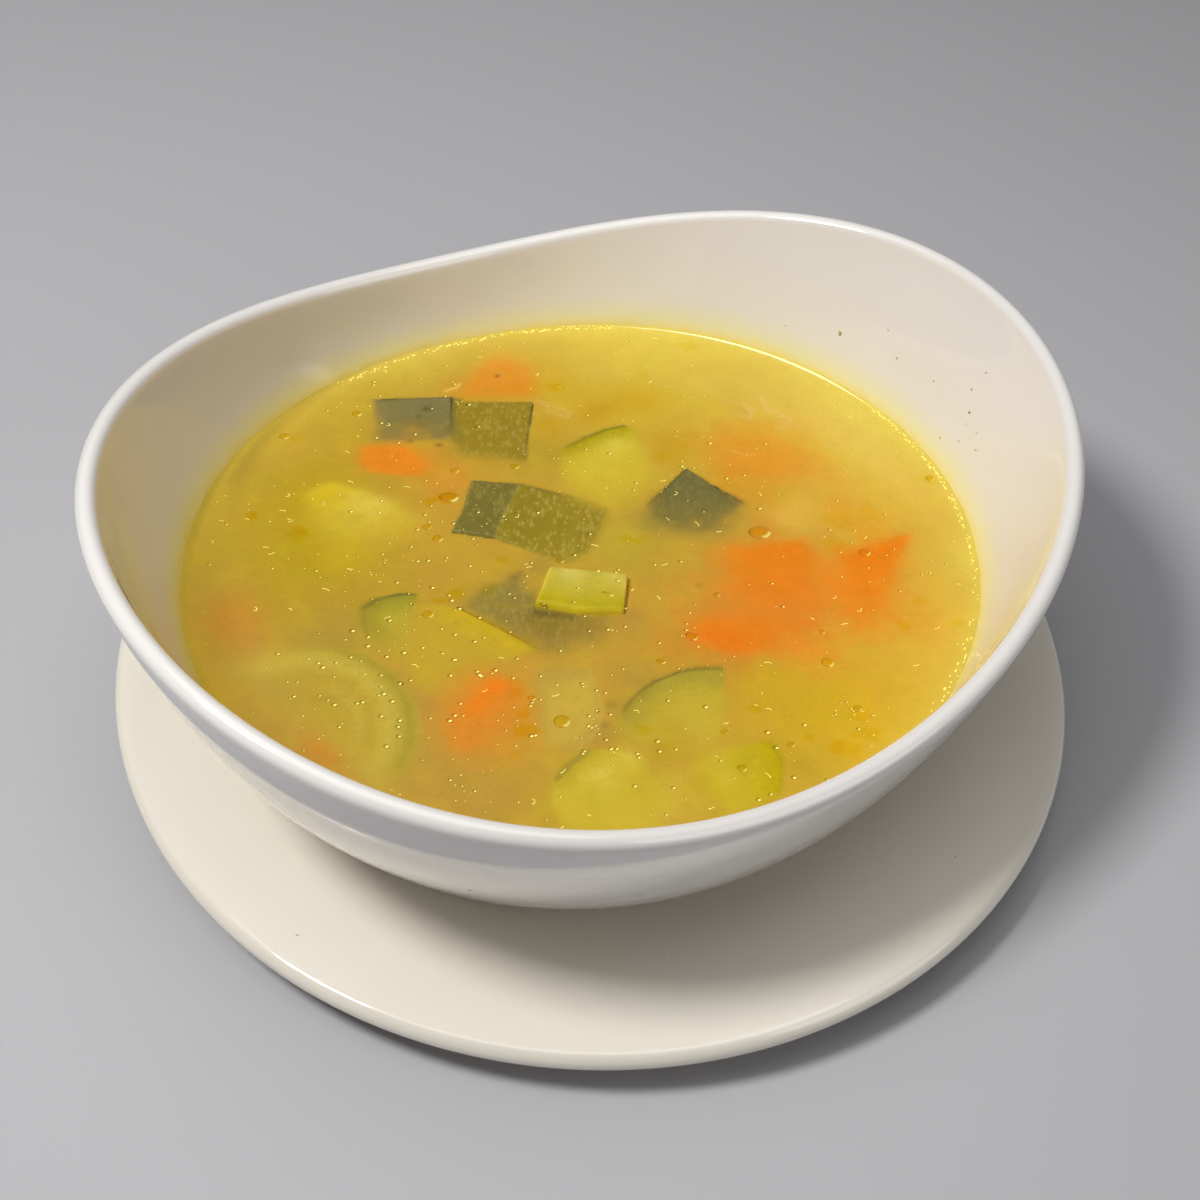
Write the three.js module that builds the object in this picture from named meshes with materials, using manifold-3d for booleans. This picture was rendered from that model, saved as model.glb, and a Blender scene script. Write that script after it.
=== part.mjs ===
// A bowl of vegetable soup on its plate: an oval glazed bowl with a swept rim, filled with yellow
// broth in which pieces of courgette, carrot and onion float, each tilted its own way.
// Millimetres, +Z up. The origin is on the table under the plate's centre, and +Y points to the back.
import * as THREE from "three";
import { mergeVertices } from "three/addons/utils/BufferGeometryUtils.js";
import Module from "manifold-3d";

// Driving dimensions
const TURNS = 54; // segments around the plate, the bowl and the broth
const GAP = 0.3; // clearance between pieces that touch

const PLATE = {
  radius: 121,
  edgeHeight: 14, // top of the rounded edge
  edgeRadius: 3.3,
  wellRadius: 58, // the flat middle that carries the bowl
  wellHeight: 7,
  thickness: 4.6,
  footInner: 54,
  footOuter: 62,
};

const BOWL = {
  centre: [-2, -1.2], // the bowl stands a little off the plate's middle
  longAxis: THREE.MathUtils.degToRad(33.6),
  rimRadius: 107.5, // to the middle of the lip
  rimOval: [0, 8.3, 1.5, -0.5], // cosine terms of the rim's plan: once around, twice around, and so on
  rimHeight: 73.7, // to the middle of the lip
  rimSweep: [-2.8, 9.3, 0.7], // cosine terms of the rim's height
  lip: 2.6, // radius of the rounded lip
  baseRadius: 51.4, // where the wall leaves the flat underside
  baseHeight: 8,
  fullness: [1.255, 2.655], // exponents of the wall's belly
  belly: [-2.2, -1.6], // cosine terms of the belly
  thickness: 3.6,
  thicknessAtLip: 4.7,
  footInner: 39,
  footOuter: 46,
  footHeight: 1.8,
};

const SOUP = { level: 42.8 };

// Heights of the pieces are counted from the broth's level. "top" is at the piece's centre, "lean" is
// the rise per millimetre along X and Y, "crown" the extra height of the middle over the outline,
// "ridge" a fold line with the fall on each side of it, and "deep" the piece's thickness.
const BEVEL = 0.7; // softened edge of the cut vegetables
const PIECES = {
  courgette_skin_back_left: {
    outline: [[-62.7, 53.4], [-59.2, 36.6], [-40.2, 39.2], [-41.8, 55.9]],
    top: -0.5, lean: [0.02, 0.14], crown: 0.3, deep: 8, colour: 0x3f4a36,
  },
  courgette_skin_back_right: {
    outline: [[-40.6, 54.7], [-38.4, 33.2], [-20.4, 32.4], [-20.2, 55.4]],
    top: 0.1, lean: [0.05, 0.07], crown: 0.3, deep: 8, colour: 0x66662a,
  },
  courgette_skin_middle: {
    outline: [
      [-33.5, 23.8], [-34.6, 13.3], [-36.8, 4.4], [-26, 3.1], [-7.5, -3.8], [-2.6, 0.8], [2, 15.9], [-9.5, 20.6],
      [-21.3, 23.3],
    ],
    centre: [-23.6, 13.2], ridge: { turn: 76, fall: [0.01, 0.12] },
    top: 0.9, lean: [0, 0], crown: 0.1, deep: 7.5, colour: 0x5c5f2b,
  },
  courgette_wedge_back: {
    outline: [
      [-10.8, 38.6], [-11.2, 31.5], [-8.2, 22.6], [2.2, 17.6], [8.5, 22.8], [12.4, 30.6], [7, 47.4], [4.6, 48.9],
      [-0.6, 46.7], [-5.7, 43.2],
    ],
    top: -0.7, lean: [-0.02, 0.09], crown: 0.1, deep: 9, colour: 0xc3bd4c,
  },
  courgette_skin_right: {
    outline: [[20.9, 33], [11.2, 18.6], [14.4, 9.6], [29.5, 8.6], [35.8, 21.6]],
    top: -0.7, lean: [-0.01, 0.13], crown: 0.4, deep: 8, colour: 0x414b38,
  },
  courgette_stick: {
    outline: [[-11.8, -6.6], [-14.4, -18.6], [-4, -20.6], [6.6, -19.8], [7.2, -8]],
    top: 2.1, lean: [0.02, 0.03], crown: 0.2, deep: 4.2, colour: 0xbdc559,
  },
  courgette_chunk_left: {
    outline: [
      [-55.2, -23], [-53, -31], [-47.6, -37.8], [-43.2, -36.4], [-42.6, -16.9], [-46.6, -17], [-50.8, -18.6],
      [-54.2, -20.8],
    ],
    top: -0.3, lean: [0.01, 0.1], crown: 0.1, deep: 9, colour: 0xb9b548,
  },
  courgette_strip_left: {
    outline: [
      [-41.8, -20.4], [-42.2, -38.6], [-36.4, -46], [-25.6, -38.6], [-12.4, -32.2], [-22, -26.4], [-32.4, -20.6],
    ],
    top: -0.2, lean: [0.04, 0.08], crown: 0.1, deep: 8, colour: 0xc6b741,
  },
  courgette_half_slice: {
    outline: arc([-62, -61], 25.4, -40, 140, 15),
    centre: [-56, -53.6], top: -0.1, lean: [0.03, 0.025], crown: 0.1, deep: 8, colour: 0xb3a947,
  },
  courgette_wedge_front: {
    outline: [[29.4, -57], [30.4, -46], ...arc([29, -58], 23.4, 86, 168, 7), [7.4, -57.4]],
    top: -0.1, lean: [-0.02, 0.07], crown: 0.1, deep: 9, colour: 0xadaa44,
  },
  courgette_slice_front_left: {
    outline: arc([5.4, -73], 13, 30, 390, 14).slice(0, -1),
    top: -0.3, lean: [-0.04, 0.05], crown: 0.1, deep: 9, colour: 0xc9bd3c,
  },
  courgette_slice_front_right: {
    outline: [[23.4, -61], [27.6, -59.2], [40.4, -55.2], [43.6, -60.6], [42.6, -70.2], [32, -76.6], [22.6, -70.4]],
    top: -0.2, lean: [0.06, 0.02], crown: 0.1, deep: 9, colour: 0xc9c136,
  },
  onion_front: {
    outline: [[-11.2, -43], [-9.6, -55.6], [-8.4, -61.8], [-1.2, -58.4], [3, -49], [-0.6, -39.6]],
    top: 0.1, lean: [0.05, 0.02], crown: 0.1, deep: 4, colour: 0xc5ab4f,
  },
  carrot_back: {
    outline: [[-63, 34.6], [-63.2, 28], [-59.6, 24.4], [-46, 23.8], [-44.6, 29], [-51.6, 36.2]],
    top: 0.2, lean: [-0.02, -0.01], crown: 0.4, deep: 10, colour: 0xe2822e,
  },
  carrot_front: {
    outline: [
      [-22.6, -40.2], [-30, -45.6], [-35.2, -54.8], [-29.8, -64], [-21, -65], [-12.6, -61.4], [-12.8, -48],
      [-15.2, -43.6],
    ],
    centre: [-22, -50.6], ridge: { turn: 62, fall: [0.24, 0.3] },
    top: 0.9, lean: [0.01, 0.01], crown: 0, deep: 12, colour: 0xe57f2c,
  },
  carrot_right_back: {
    outline: [[29.6, 5], [31.4, -12.4], [50, -12.6], [54.4, 1.6], [50.2, 9.6]],
    top: -0.6, lean: [0.01, 0.1], crown: 0.2, deep: 11, colour: 0xe58324,
  },
  carrot_right_side: {
    outline: [[58.2, 5.2], [60.2, -8], [60.4, -22.4], [67.6, -22.6], [70, -11], [75.6, 7.8], [78, 14.4]],
    centre: [66.4, -4.6], top: -0.7, lean: [0.01, 0.07], crown: 0.2, deep: 10, colour: 0xe88a22,
  },
  carrot_right_front: {
    outline: [[23.2, -18.6], [22.4, -27], [32.8, -31.4], [43.4, -28.4], [48, -20.6], [39, -16.4]],
    top: -0.3, lean: [-0.04, -0.07], crown: 0.2, deep: 11, colour: 0xe37f2a,
  },
};

// Points along an arc, its two turns in degrees
function arc(centre, radius, fromTurn, toTurn, count) {
  return Array.from({ length: count }, (_, i) => {
    const turn = THREE.MathUtils.degToRad(THREE.MathUtils.lerp(fromTurn, toTurn, i / (count - 1)));
    return [centre[0] + radius * Math.cos(turn), centre[1] + radius * Math.sin(turn)];
  });
}

// A lathe whose points are placed one by one: the rows run from the pole below to the pole above
function lofted(rows, segments, place) {
  const seed = Array.from({ length: rows }, (_, row) => new THREE.Vector2(row % (rows - 1) ? 1 : 0, row));
  const geometry = new THREE.LatheGeometry(seed, segments);
  const position = geometry.getAttribute("position");
  for (let segment = 0; segment <= segments; segment++) {
    for (let row = 0; row < rows; row++) {
      position.setXYZ(segment * rows + row, ...place(segment % segments, row));
    }
  }
  geometry.deleteAttribute("normal");
  geometry.deleteAttribute("uv");
  return mergeVertices(geometry, 1e-4);
}

// The plate: a shallow disc with a flat well, a rounded edge and a low foot ring
function plateGeometry() {
  const { radius, edgeHeight, edgeRadius, wellRadius, wellHeight, thickness, footInner, footOuter } = PLATE;
  const under = wellHeight - thickness;
  const edgeCentre = edgeHeight - edgeRadius;
  const edge = [-70, -35, 0, 30, 60, 85].map((turn) => {
    const angle = THREE.MathUtils.degToRad(turn);
    return [radius - edgeRadius * (1 - Math.cos(angle)), edgeCentre + edgeRadius * Math.sin(angle)];
  });
  const profile = [
    [0, under], [footInner - 1.6, under], [footInner, 0.4], [footInner + 0.6, 0], [footOuter - 0.6, 0],
    [footOuter, 0.4], [footOuter + 1.6, under + 0.2], [(footOuter + radius) / 2, under + 2.3],
    ...edge,
    [(wellRadius + radius) / 2 + 12, wellHeight + 4.6], [(wellRadius + radius) / 2 - 8, wellHeight + 2],
    [wellRadius + 7, wellHeight + 0.3], [wellRadius - 5, wellHeight], [0, wellHeight],
  ];
  return lofted(profile.length, TURNS, (segment, row) => {
    const turn = (segment / TURNS) * 2 * Math.PI;
    return [profile[row][0] * Math.cos(turn), profile[row][0] * Math.sin(turn), profile[row][1]];
  });
}

// The bowl's rim and wall at a turn counted from its long axis
const series = (terms, turn) => terms.reduce((sum, term, i) => sum + term * Math.cos((i + 1) * turn), 0);
const rimRadius = (turn) => BOWL.rimRadius + series(BOWL.rimOval, turn);
const rimHeight = (turn) => BOWL.rimHeight + series(BOWL.rimSweep, turn);

// A point of the outer wall as radius and height: share 0 is the foot, share 1 the lip
function outerWall(turn, share) {
  const rise = share ** 2.6;
  const [low, high] = BOWL.fullness;
  const reach = rimRadius(turn) + 0.8 * BOWL.lip - BOWL.baseRadius;
  const bulge = 4 * rise * (1 - rise) * series(BOWL.belly, turn);
  const radius = BOWL.baseRadius + reach * (1 - (1 - rise) ** low) ** (1 / high) + bulge;
  return new THREE.Vector2(radius, BOWL.baseHeight + (rimHeight(turn) - BOWL.baseHeight) * rise);
}

// The same point moved into the wall along its normal
function setIn(turn, share, depth) {
  const step = 1e-4;
  const along = outerWall(turn, Math.min(share + step, 1)).sub(outerWall(turn, Math.max(share - step, 0)));
  const inward = share === 0 ? new THREE.Vector2(0, 1) : new THREE.Vector2(-along.y, along.x).normalize();
  return outerWall(turn, share).addScaledVector(inward, depth);
}

const wallThickness = (share) => THREE.MathUtils.lerp(BOWL.thickness, BOWL.thicknessAtLip, share ** 4);
const wallShares = [0.1, 0.2, 0.3, 0.4, 0.5, 0.6, 0.7, 0.8, 0.9];
const floorHeight = BOWL.baseHeight + BOWL.thickness;

// A point given by its turn from the long axis, radius and height, in the object's own frame
function bowlPoint(turn, { x: radius, y: height }) {
  const angle = turn + BOWL.longAxis;
  return [BOWL.centre[0] + radius * Math.cos(angle), BOWL.centre[1] + radius * Math.sin(angle), height];
}

function bowlGeometry() {
  const { lip, footInner, footOuter, footHeight, baseHeight, baseRadius } = BOWL;
  const standing = PLATE.wellHeight + GAP;
  const lipTurns = [-12, 30, 72, 108, 150, 192].map(THREE.MathUtils.degToRad);
  const profileAt = (turn) => [
    new THREE.Vector2(0, standing + footHeight),
    new THREE.Vector2(footInner - 0.8, standing + footHeight),
    new THREE.Vector2(footInner + 0.5, standing),
    new THREE.Vector2(footOuter - 0.5, standing),
    new THREE.Vector2(footOuter + 0.6, baseHeight),
    new THREE.Vector2(baseRadius, baseHeight),
    ...wallShares.map((share) => outerWall(turn, share)),
    ...lipTurns.map(
      (bend) => new THREE.Vector2(rimRadius(turn) + lip * Math.cos(bend), rimHeight(turn) + lip * Math.sin(bend)),
    ),
    ...wallShares.toReversed().map((share) => setIn(turn, share, wallThickness(share))),
    new THREE.Vector2(baseRadius, floorHeight),
    new THREE.Vector2(baseRadius / 2, floorHeight),
    new THREE.Vector2(0, floorHeight),
  ];
  const profiles = Array.from({ length: TURNS }, (_, i) => profileAt((i / TURNS) * 2 * Math.PI));
  return lofted(profiles[0].length, TURNS, (segment, row) =>
    bowlPoint((segment / TURNS) * 2 * Math.PI, profiles[segment][row]),
  );
}

// What would fill the bowl to just under its lip, clear of the wall by the gap
function fillingGeometry() {
  const profileAt = (turn) => [
    new THREE.Vector2(0, floorHeight + GAP),
    new THREE.Vector2(BOWL.baseRadius, floorHeight + GAP),
    ...wallShares.map((share) => setIn(turn, share, wallThickness(share) + GAP)),
    new THREE.Vector2(0, BOWL.rimHeight),
  ];
  const profiles = Array.from({ length: TURNS }, (_, i) => profileAt((i / TURNS) * 2 * Math.PI));
  return lofted(profiles[0].length, TURNS, (segment, row) =>
    bowlPoint((segment / TURNS) * 2 * Math.PI, profiles[segment][row]),
  );
}

// A piece's outline with one more point in the middle of every long side
function sampledOutline(outline) {
  const longSide = 7;
  return outline.flatMap((corner, i) => {
    const next = outline[(i + 1) % outline.length];
    const side = new THREE.Vector2(...next).distanceTo(new THREE.Vector2(...corner));
    return side < longSide ? [corner] : [corner, [(corner[0] + next[0]) / 2, (corner[1] + next[1]) / 2]];
  });
}

// The height of a piece's upper face over the broth's level
function topHeight(piece, centre, x, y, spread) {
  const [dx, dy] = [x - centre.x, y - centre.y];
  let height = piece.top + piece.lean[0] * dx + piece.lean[1] * dy + piece.crown * (1 - spread ** 2);
  if (piece.ridge) {
    const turn = THREE.MathUtils.degToRad(piece.ridge.turn);
    const aside = dx * Math.sin(turn) - dy * Math.cos(turn);
    height -= aside < 0 ? -aside * piece.ridge.fall[0] : aside * piece.ridge.fall[1];
  }
  return height;
}

// A cut piece of vegetable: its outline carried down, with softened edges and a leaning upper face
function pieceGeometry(piece, grow) {
  const outline = sampledOutline(piece.outline).map((point) => new THREE.Vector2(...point));
  const centre = piece.centre
    ? new THREE.Vector2(...piece.centre)
    : outline.reduce((sum, point) => sum.add(point), new THREE.Vector2()).divideScalar(outline.length);
  if (THREE.ShapeUtils.isClockWise(outline)) outline.reverse();
  const rows = [
    { inset: Infinity, under: true, down: 0 },
    { inset: BEVEL, under: true, down: 0 },
    { inset: 0, under: true, down: -BEVEL },
    { inset: 0, under: false, down: BEVEL },
    { inset: BEVEL, under: false, down: 0.12 },
    { inset: Infinity, under: false, down: 0 },
  ];
  return lofted(rows.length, outline.length, (segment, row) => {
    const { inset, under, down } = rows[row];
    const arm = outline[segment].clone().sub(centre);
    const spread = Math.max(1 - inset / arm.length(), 0);
    const grown = arm.clone().multiplyScalar(spread + (spread > 0 ? grow / arm.length() : 0));
    const top = topHeight(piece, centre, centre.x + grown.x, centre.y + grown.y, spread);
    const height = under ? top - piece.deep - down - grow : top - down + grow;
    return [centre.x + grown.x, centre.y + grown.y, SOUP.level + height];
  });
}

const wasm = await Module();
wasm.setup();

function toSolid(geometry) {
  return new wasm.Manifold(
    new wasm.Mesh({
      numProp: 3,
      vertProperties: Float32Array.from(geometry.getAttribute("position").array),
      triVerts: Uint32Array.from(geometry.index.array),
    }),
  );
}

function toGeometry(solid) {
  const { vertProperties, triVerts } = solid.getMesh();
  const geometry = new THREE.BufferGeometry();
  geometry.setAttribute("position", new THREE.BufferAttribute(vertProperties, 3));
  geometry.setIndex(new THREE.BufferAttribute(triVerts, 1));
  return geometry;
}

// The broth: the bowl's filling cut at the broth's level, with a pocket for each floating piece
function brothGeometry() {
  const side = 4 * BOWL.rimRadius;
  const below = new THREE.BoxGeometry(side, side, side).translate(0, 0, SOUP.level - side / 2);
  below.deleteAttribute("normal");
  below.deleteAttribute("uv");
  const filled = toSolid(fillingGeometry()).intersect(toSolid(mergeVertices(below)));
  const pockets = Object.values(PIECES).map((piece) => toSolid(pieceGeometry(piece, GAP)));
  return toGeometry(filled.subtract(wasm.Manifold.union(pockets)));
}

function named(name, geometry, colour, roughness) {
  const material = new THREE.MeshStandardMaterial({ color: colour, roughness, metalness: 0 });
  const mesh = new THREE.Mesh(geometry, material);
  mesh.name = name;
  return mesh;
}

const soup = new THREE.Group();
soup.add(named("plate", plateGeometry(), 0xe9e3d3, 0.25));
soup.add(named("bowl", bowlGeometry(), 0xf1eee8, 0.15));
soup.add(named("broth", brothGeometry(), 0xc9a53a, 0.1));
for (const [name, piece] of Object.entries(PIECES)) {
  soup.add(named(name, pieceGeometry(piece, 0), piece.colour, 0.35));
}

export default soup;
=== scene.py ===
import math
import random

import bmesh
import bpy
import numpy as np
from mathutils import Matrix, Vector
from mathutils.bvhtree import BVHTree


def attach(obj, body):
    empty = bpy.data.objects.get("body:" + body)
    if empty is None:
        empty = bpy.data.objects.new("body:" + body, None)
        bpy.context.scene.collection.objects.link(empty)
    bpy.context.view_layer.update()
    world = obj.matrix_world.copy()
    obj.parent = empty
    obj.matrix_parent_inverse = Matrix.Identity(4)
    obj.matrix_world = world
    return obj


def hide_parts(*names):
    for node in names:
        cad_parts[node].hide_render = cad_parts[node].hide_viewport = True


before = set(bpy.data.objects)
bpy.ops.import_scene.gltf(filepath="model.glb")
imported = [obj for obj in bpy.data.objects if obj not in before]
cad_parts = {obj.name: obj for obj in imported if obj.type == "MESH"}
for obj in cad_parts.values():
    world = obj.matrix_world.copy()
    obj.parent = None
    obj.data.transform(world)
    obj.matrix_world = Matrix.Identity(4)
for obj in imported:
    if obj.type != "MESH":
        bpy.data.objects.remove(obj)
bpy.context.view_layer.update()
scene = bpy.context.scene
mm = 0.001
dice = random.Random(11)
brothLevel = 42.8                  # height of the broth, in mm
bowlAxis = np.array([-2.0, -1.2])  # centre of the bowl seen from above, in mm
rayStart = 90                      # height over everything, from which rays look down, in mm
down = Vector((0, 0, -1))


# Colours are given as they are picked on a screen, 0 to 255
def linear(colour):
    share = np.asarray(colour, dtype=float) / 255
    return np.where(share <= 0.04045, share / 12.92, ((share + 0.055) / 1.055) ** 2.4)


def ramp(value, low, high):  # smooth step from 0 at low to 1 at high
    share = np.clip((value - low) / (high - low), 0, 1)
    return share * share * (3 - 2 * share)


def mixed(under, over, share):
    return under + (over - under) * np.asarray(share)[..., None]


def lifted(colour, lift):  # brighter, as far as no channel is cut off, so that the hue stays
    return colour * np.minimum(lift, 0.95 / colour.max(1))[:, None]


def opaque(colour):  # for a colour socket
    return (*linear(colour), 1)


def distanceTo(x, y, line):  # from each point to a line of points, all in mm
    nearest = np.full(np.shape(x), 1e9)
    for (ax, ay), (bx, by) in zip(line, line[1:]):
        long = (bx - ax) ** 2 + (by - ay) ** 2
        along = np.clip(((x - ax) * (bx - ax) + (y - ay) * (by - ay)) / long, 0, 1)
        nearest = np.minimum(nearest, np.hypot(x - ax - along * (bx - ax), y - ay - along * (by - ay)))
    return nearest


def arcLine(centre, radius, fromTurn, toTurn, count=16):
    turns = np.radians(np.linspace(fromTurn, toTurn, count))
    return [(centre[0] + radius * math.cos(t), centre[1] + radius * math.sin(t)) for t in turns]


def unevenness(x, y, size, seed):  # a smooth random field, mostly between -1 and 1, size in mm
    chance = random.Random(seed)
    total = np.zeros(np.shape(x))
    for _ in range(16):
        turn = chance.uniform(0, 2 * math.pi)
        length = size * chance.uniform(0.8, 2.2)
        waves = (x * math.cos(turn) + y * math.sin(turn)) * 2 * math.pi / length
        total += np.sin(waves + chance.uniform(0, 7))
    return total / 4


# Shader node groups shared by the materials
def newGroup(name, inputs, outputs):
    group = bpy.data.node_groups.new(name, "ShaderNodeTree")
    kinds = {"vector": "NodeSocketVector", "value": "NodeSocketFloat", "colour": "NodeSocketColor"}
    for label, kind, value in inputs:
        socket = group.interface.new_socket(label, in_out="INPUT", socket_type=kinds[kind])
        if value is not None:
            socket.default_value = value
    for label, kind in outputs:
        group.interface.new_socket(label, in_out="OUTPUT", socket_type=kinds[kind])
    return group, group.nodes.new("NodeGroupInput"), group.nodes.new("NodeGroupOutput")


def addNode(tree, kind, values=(), **settings):
    node = tree.nodes.new(kind)
    for key, value in settings.items():
        setattr(node, key, value)
    for key, value in dict(values).items():
        node.inputs[key].default_value = value
    return node


def wire(tree, *joins):  # each join is a node and its output, then a node and its input
    for source, output, target, socket in joins:
        tree.links.new(source.outputs[output], target.inputs[socket])


def makeFleckGroup():  # short pale flecks, as on courgette skin
    tree, given, result = newGroup(
        "paleFlecks",
        [("Vector", "vector", None), ("Spacing", "value", 1), ("Size", "value", 0.5), ("Share", "value", 0.6)],
        [("Mask", "value")],
    )
    stretch = addNode(tree, "ShaderNodeVectorMath", {1: (1.0, 0.5, 1.0)}, operation="MULTIPLY")
    warp = addNode(tree, "ShaderNodeTexNoise", {"Scale": 900.0, "Detail": 2.0})
    bend = addNode(tree, "ShaderNodeVectorMath", {1: (0.0015, 0.0012, 0.0)}, operation="MULTIPLY_ADD")
    scale = addNode(tree, "ShaderNodeMath", {0: 1 / mm}, operation="DIVIDE")
    cells = addNode(tree, "ShaderNodeTexVoronoi", voronoi_dimensions="2D", feature="F1")
    parts = addNode(tree, "ShaderNodeSeparateColor")
    reach = addNode(tree, "ShaderNodeMath", operation="MULTIPLY")
    spot = addNode(tree, "ShaderNodeMapRange", {"From Min": 0.0, "To Min": 1.0, "To Max": 0.0}, clamp=True)
    gate = addNode(tree, "ShaderNodeMath", operation="LESS_THAN")
    both = addNode(tree, "ShaderNodeMath", operation="MULTIPLY")
    wire(
        tree,
        (given, "Vector", stretch, 0), (given, "Vector", warp, "Vector"), (warp, "Color", bend, 0),
        (stretch, "Vector", bend, 2), (given, "Spacing", scale, 1), (bend, "Vector", cells, "Vector"),
        (scale, "Value", cells, "Scale"), (cells, "Color", parts, "Color"), (parts, "Green", reach, 0),
        (given, "Size", reach, 1), (cells, "Distance", spot, "Value"), (reach, "Value", spot, "From Max"),
        (parts, "Red", gate, 0), (given, "Share", gate, 1), (spot, "Result", both, 0),
        (gate, "Value", both, 1), (both, "Value", result, "Mask"),
    )
    return tree


def makeCloudGroup():  # soft lighter and darker places in a colour
    tree, given, result = newGroup(
        "softClouds",
        [("Color", "colour", None), ("Vector", "vector", None), ("Size", "value", 6),
         ("Strength", "value", 0.1)],
        [("Color", "colour"), ("Height", "value")],
    )
    scale = addNode(tree, "ShaderNodeMath", {0: 1 / mm}, operation="DIVIDE")
    noise = addNode(tree, "ShaderNodeTexNoise", {"Detail": 4.0, "Roughness": 0.55})
    spread = addNode(tree, "ShaderNodeMath", {1: 0.5}, operation="SUBTRACT")
    amount = addNode(tree, "ShaderNodeMath", {2: 1.0}, operation="MULTIPLY_ADD")
    brighter = addNode(tree, "ShaderNodeVectorMath", operation="SCALE")
    wire(
        tree,
        (given, "Size", scale, 1), (given, "Vector", noise, "Vector"), (scale, "Value", noise, "Scale"),
        (noise, "Fac", spread, 0), (spread, "Value", amount, 0), (given, "Strength", amount, 1),
        (given, "Color", brighter, 0), (amount, "Value", brighter, "Scale"),
        (brighter, "Vector", result, "Color"), (noise, "Fac", result, "Height"),
    )
    return tree


fleckGroup = makeFleckGroup()
cloudGroup = makeCloudGroup()


def newMaterial(name, roughness, ior=1.45, coat=0.0):
    material = bpy.data.materials.new(name)
    material.use_nodes = True
    shader = material.node_tree.nodes["Principled BSDF"]
    shader.inputs["Roughness"].default_value = roughness
    shader.inputs["IOR"].default_value = ior
    shader.inputs["Coat Weight"].default_value = coat
    return material, material.node_tree, shader


def placedGroup(tree, group, **values):
    node = addNode(tree, "ShaderNodeGroup", node_tree=group)
    for label, value in values.items():
        node.inputs[label].default_value = value
    return node


glaze = {
    "bowl": (242, 239, 236),
    "plate": (244, 238, 224),
    "roughness": 0.07,
    "ior": 1.52,
    "coat": 0.7,
    "coatRoughness": 0.04,
    "cloudSize": 45.0,
    "cloudStrength": 0.05,
    "rippleSize": 16.0,
    "rippleStrength": 0.25,
    "rippleHeight": 0.08,
}
stain = {
    # heights over the broth between which a band fades, its share and colour
    "bands": [
        (-1.0, 10.0, 0.72, (255, 244, 128)),
        (-0.8, 3.4, 0.8, (253, 222, 106)),
        (2.0, 30.0, 0.14, (246, 230, 150)),
    ],
    "unevenness": 3.0,
    "noise": {"Scale": 240.0, "Detail": 6.0, "Roughness": 0.65},
    "share": 0.95,
    "leftMore": 0.45,  # share that is added at the left
    "leftTurn": 0.25,
}


def oilyBand(tree, place, under, output):  # that the broth leaves on the wall, over the glaze's own colour
    share = addNode(tree, "ShaderNodeAttribute", attribute_name="stain")
    parts = addNode(tree, "ShaderNodeSeparateXYZ")
    uneven = addNode(tree, "ShaderNodeTexNoise", stain["noise"])
    lift = addNode(tree, "ShaderNodeMath", {1: stain["unevenness"] * mm}, operation="MULTIPLY_ADD")
    wire(
        tree,
        (place, "Object", parts, "Vector"), (place, "Object", uneven, "Vector"),
        (uneven, "Fac", lift, 0), (parts, "Z", lift, 2),
    )
    middle = brothLevel + stain["unevenness"] / 2
    for low, high, most, bandColour in stain["bands"]:
        fade = addNode(tree, "ShaderNodeMapRange", {
            "From Min": (middle + low) * mm, "From Max": (middle + high) * mm, "To Min": most, "To Max": 0.0,
        }, clamp=True, interpolation_type="SMOOTHSTEP")
        amount = addNode(tree, "ShaderNodeMath", operation="MULTIPLY")
        over = addNode(tree, "ShaderNodeMix", {7: opaque(bandColour)}, data_type="RGBA")
        wire(
            tree,
            (lift, "Value", fade, "Value"), (fade, "Result", amount, 0), (share, "Fac", amount, 1),
            (amount, "Value", over, 0), (under, output, over, 6),
        )
        under, output = over, 2
    return under, output


def glazeMaterial(name, colour, stained):
    material, tree, shader = newMaterial(name, glaze["roughness"], glaze["ior"], glaze["coat"])
    shader.inputs["Coat Roughness"].default_value = glaze["coatRoughness"]
    place = addNode(tree, "ShaderNodeTexCoord")
    clouds = placedGroup(
        tree, cloudGroup, Color=opaque(colour), Size=glaze["cloudSize"], Strength=glaze["cloudStrength"],
    )
    ripple = placedGroup(tree, cloudGroup, Size=glaze["rippleSize"], Strength=0.0)
    bump = addNode(
        tree, "ShaderNodeBump", {"Strength": glaze["rippleStrength"], "Distance": glaze["rippleHeight"] * mm},
    )
    top, output = oilyBand(tree, place, clouds, "Color") if stained else (clouds, "Color")
    wire(
        tree,
        (place, "Object", clouds, "Vector"), (place, "Object", ripple, "Vector"),
        (ripple, "Height", bump, "Height"), (bump, "Normal", shader, "Normal"),
        (top, output, shader, "Base Color"),
    )
    return material


wetLooks = {  # clouds and grain as size in mm and strength, bump in mm
    "clearBroth": {"roughness": 0.1, "clouds": (6.0, 0.17), "grain": (1.1, 0.17), "bump": 0.03},
    "courgetteSkin": {"roughness": 0.22, "clouds": (3.0, 0.3), "grain": (0.6, 0.5), "bump": 0.1},
    "courgetteFlesh": {"roughness": 0.2, "clouds": (3.5, 0.3), "grain": (0.9, 0.26), "bump": 0.12},
    "onionFlesh": {"roughness": 0.16, "clouds": (4.0, 0.24), "grain": (1.0, 0.2), "bump": 0.06},
    "carrotFlesh": {"roughness": 0.2, "clouds": (3.0, 0.3), "grain": (0.8, 0.24), "bump": 0.1},
}
wetGloss = {"ior": 1.34, "specular": 0.3, "bumpStrength": 0.5}
skinFlecks = {"Spacing": 1.05, "Size": 0.95, "Share": 0.66}
fleckColour = (190, 175, 88)


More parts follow.
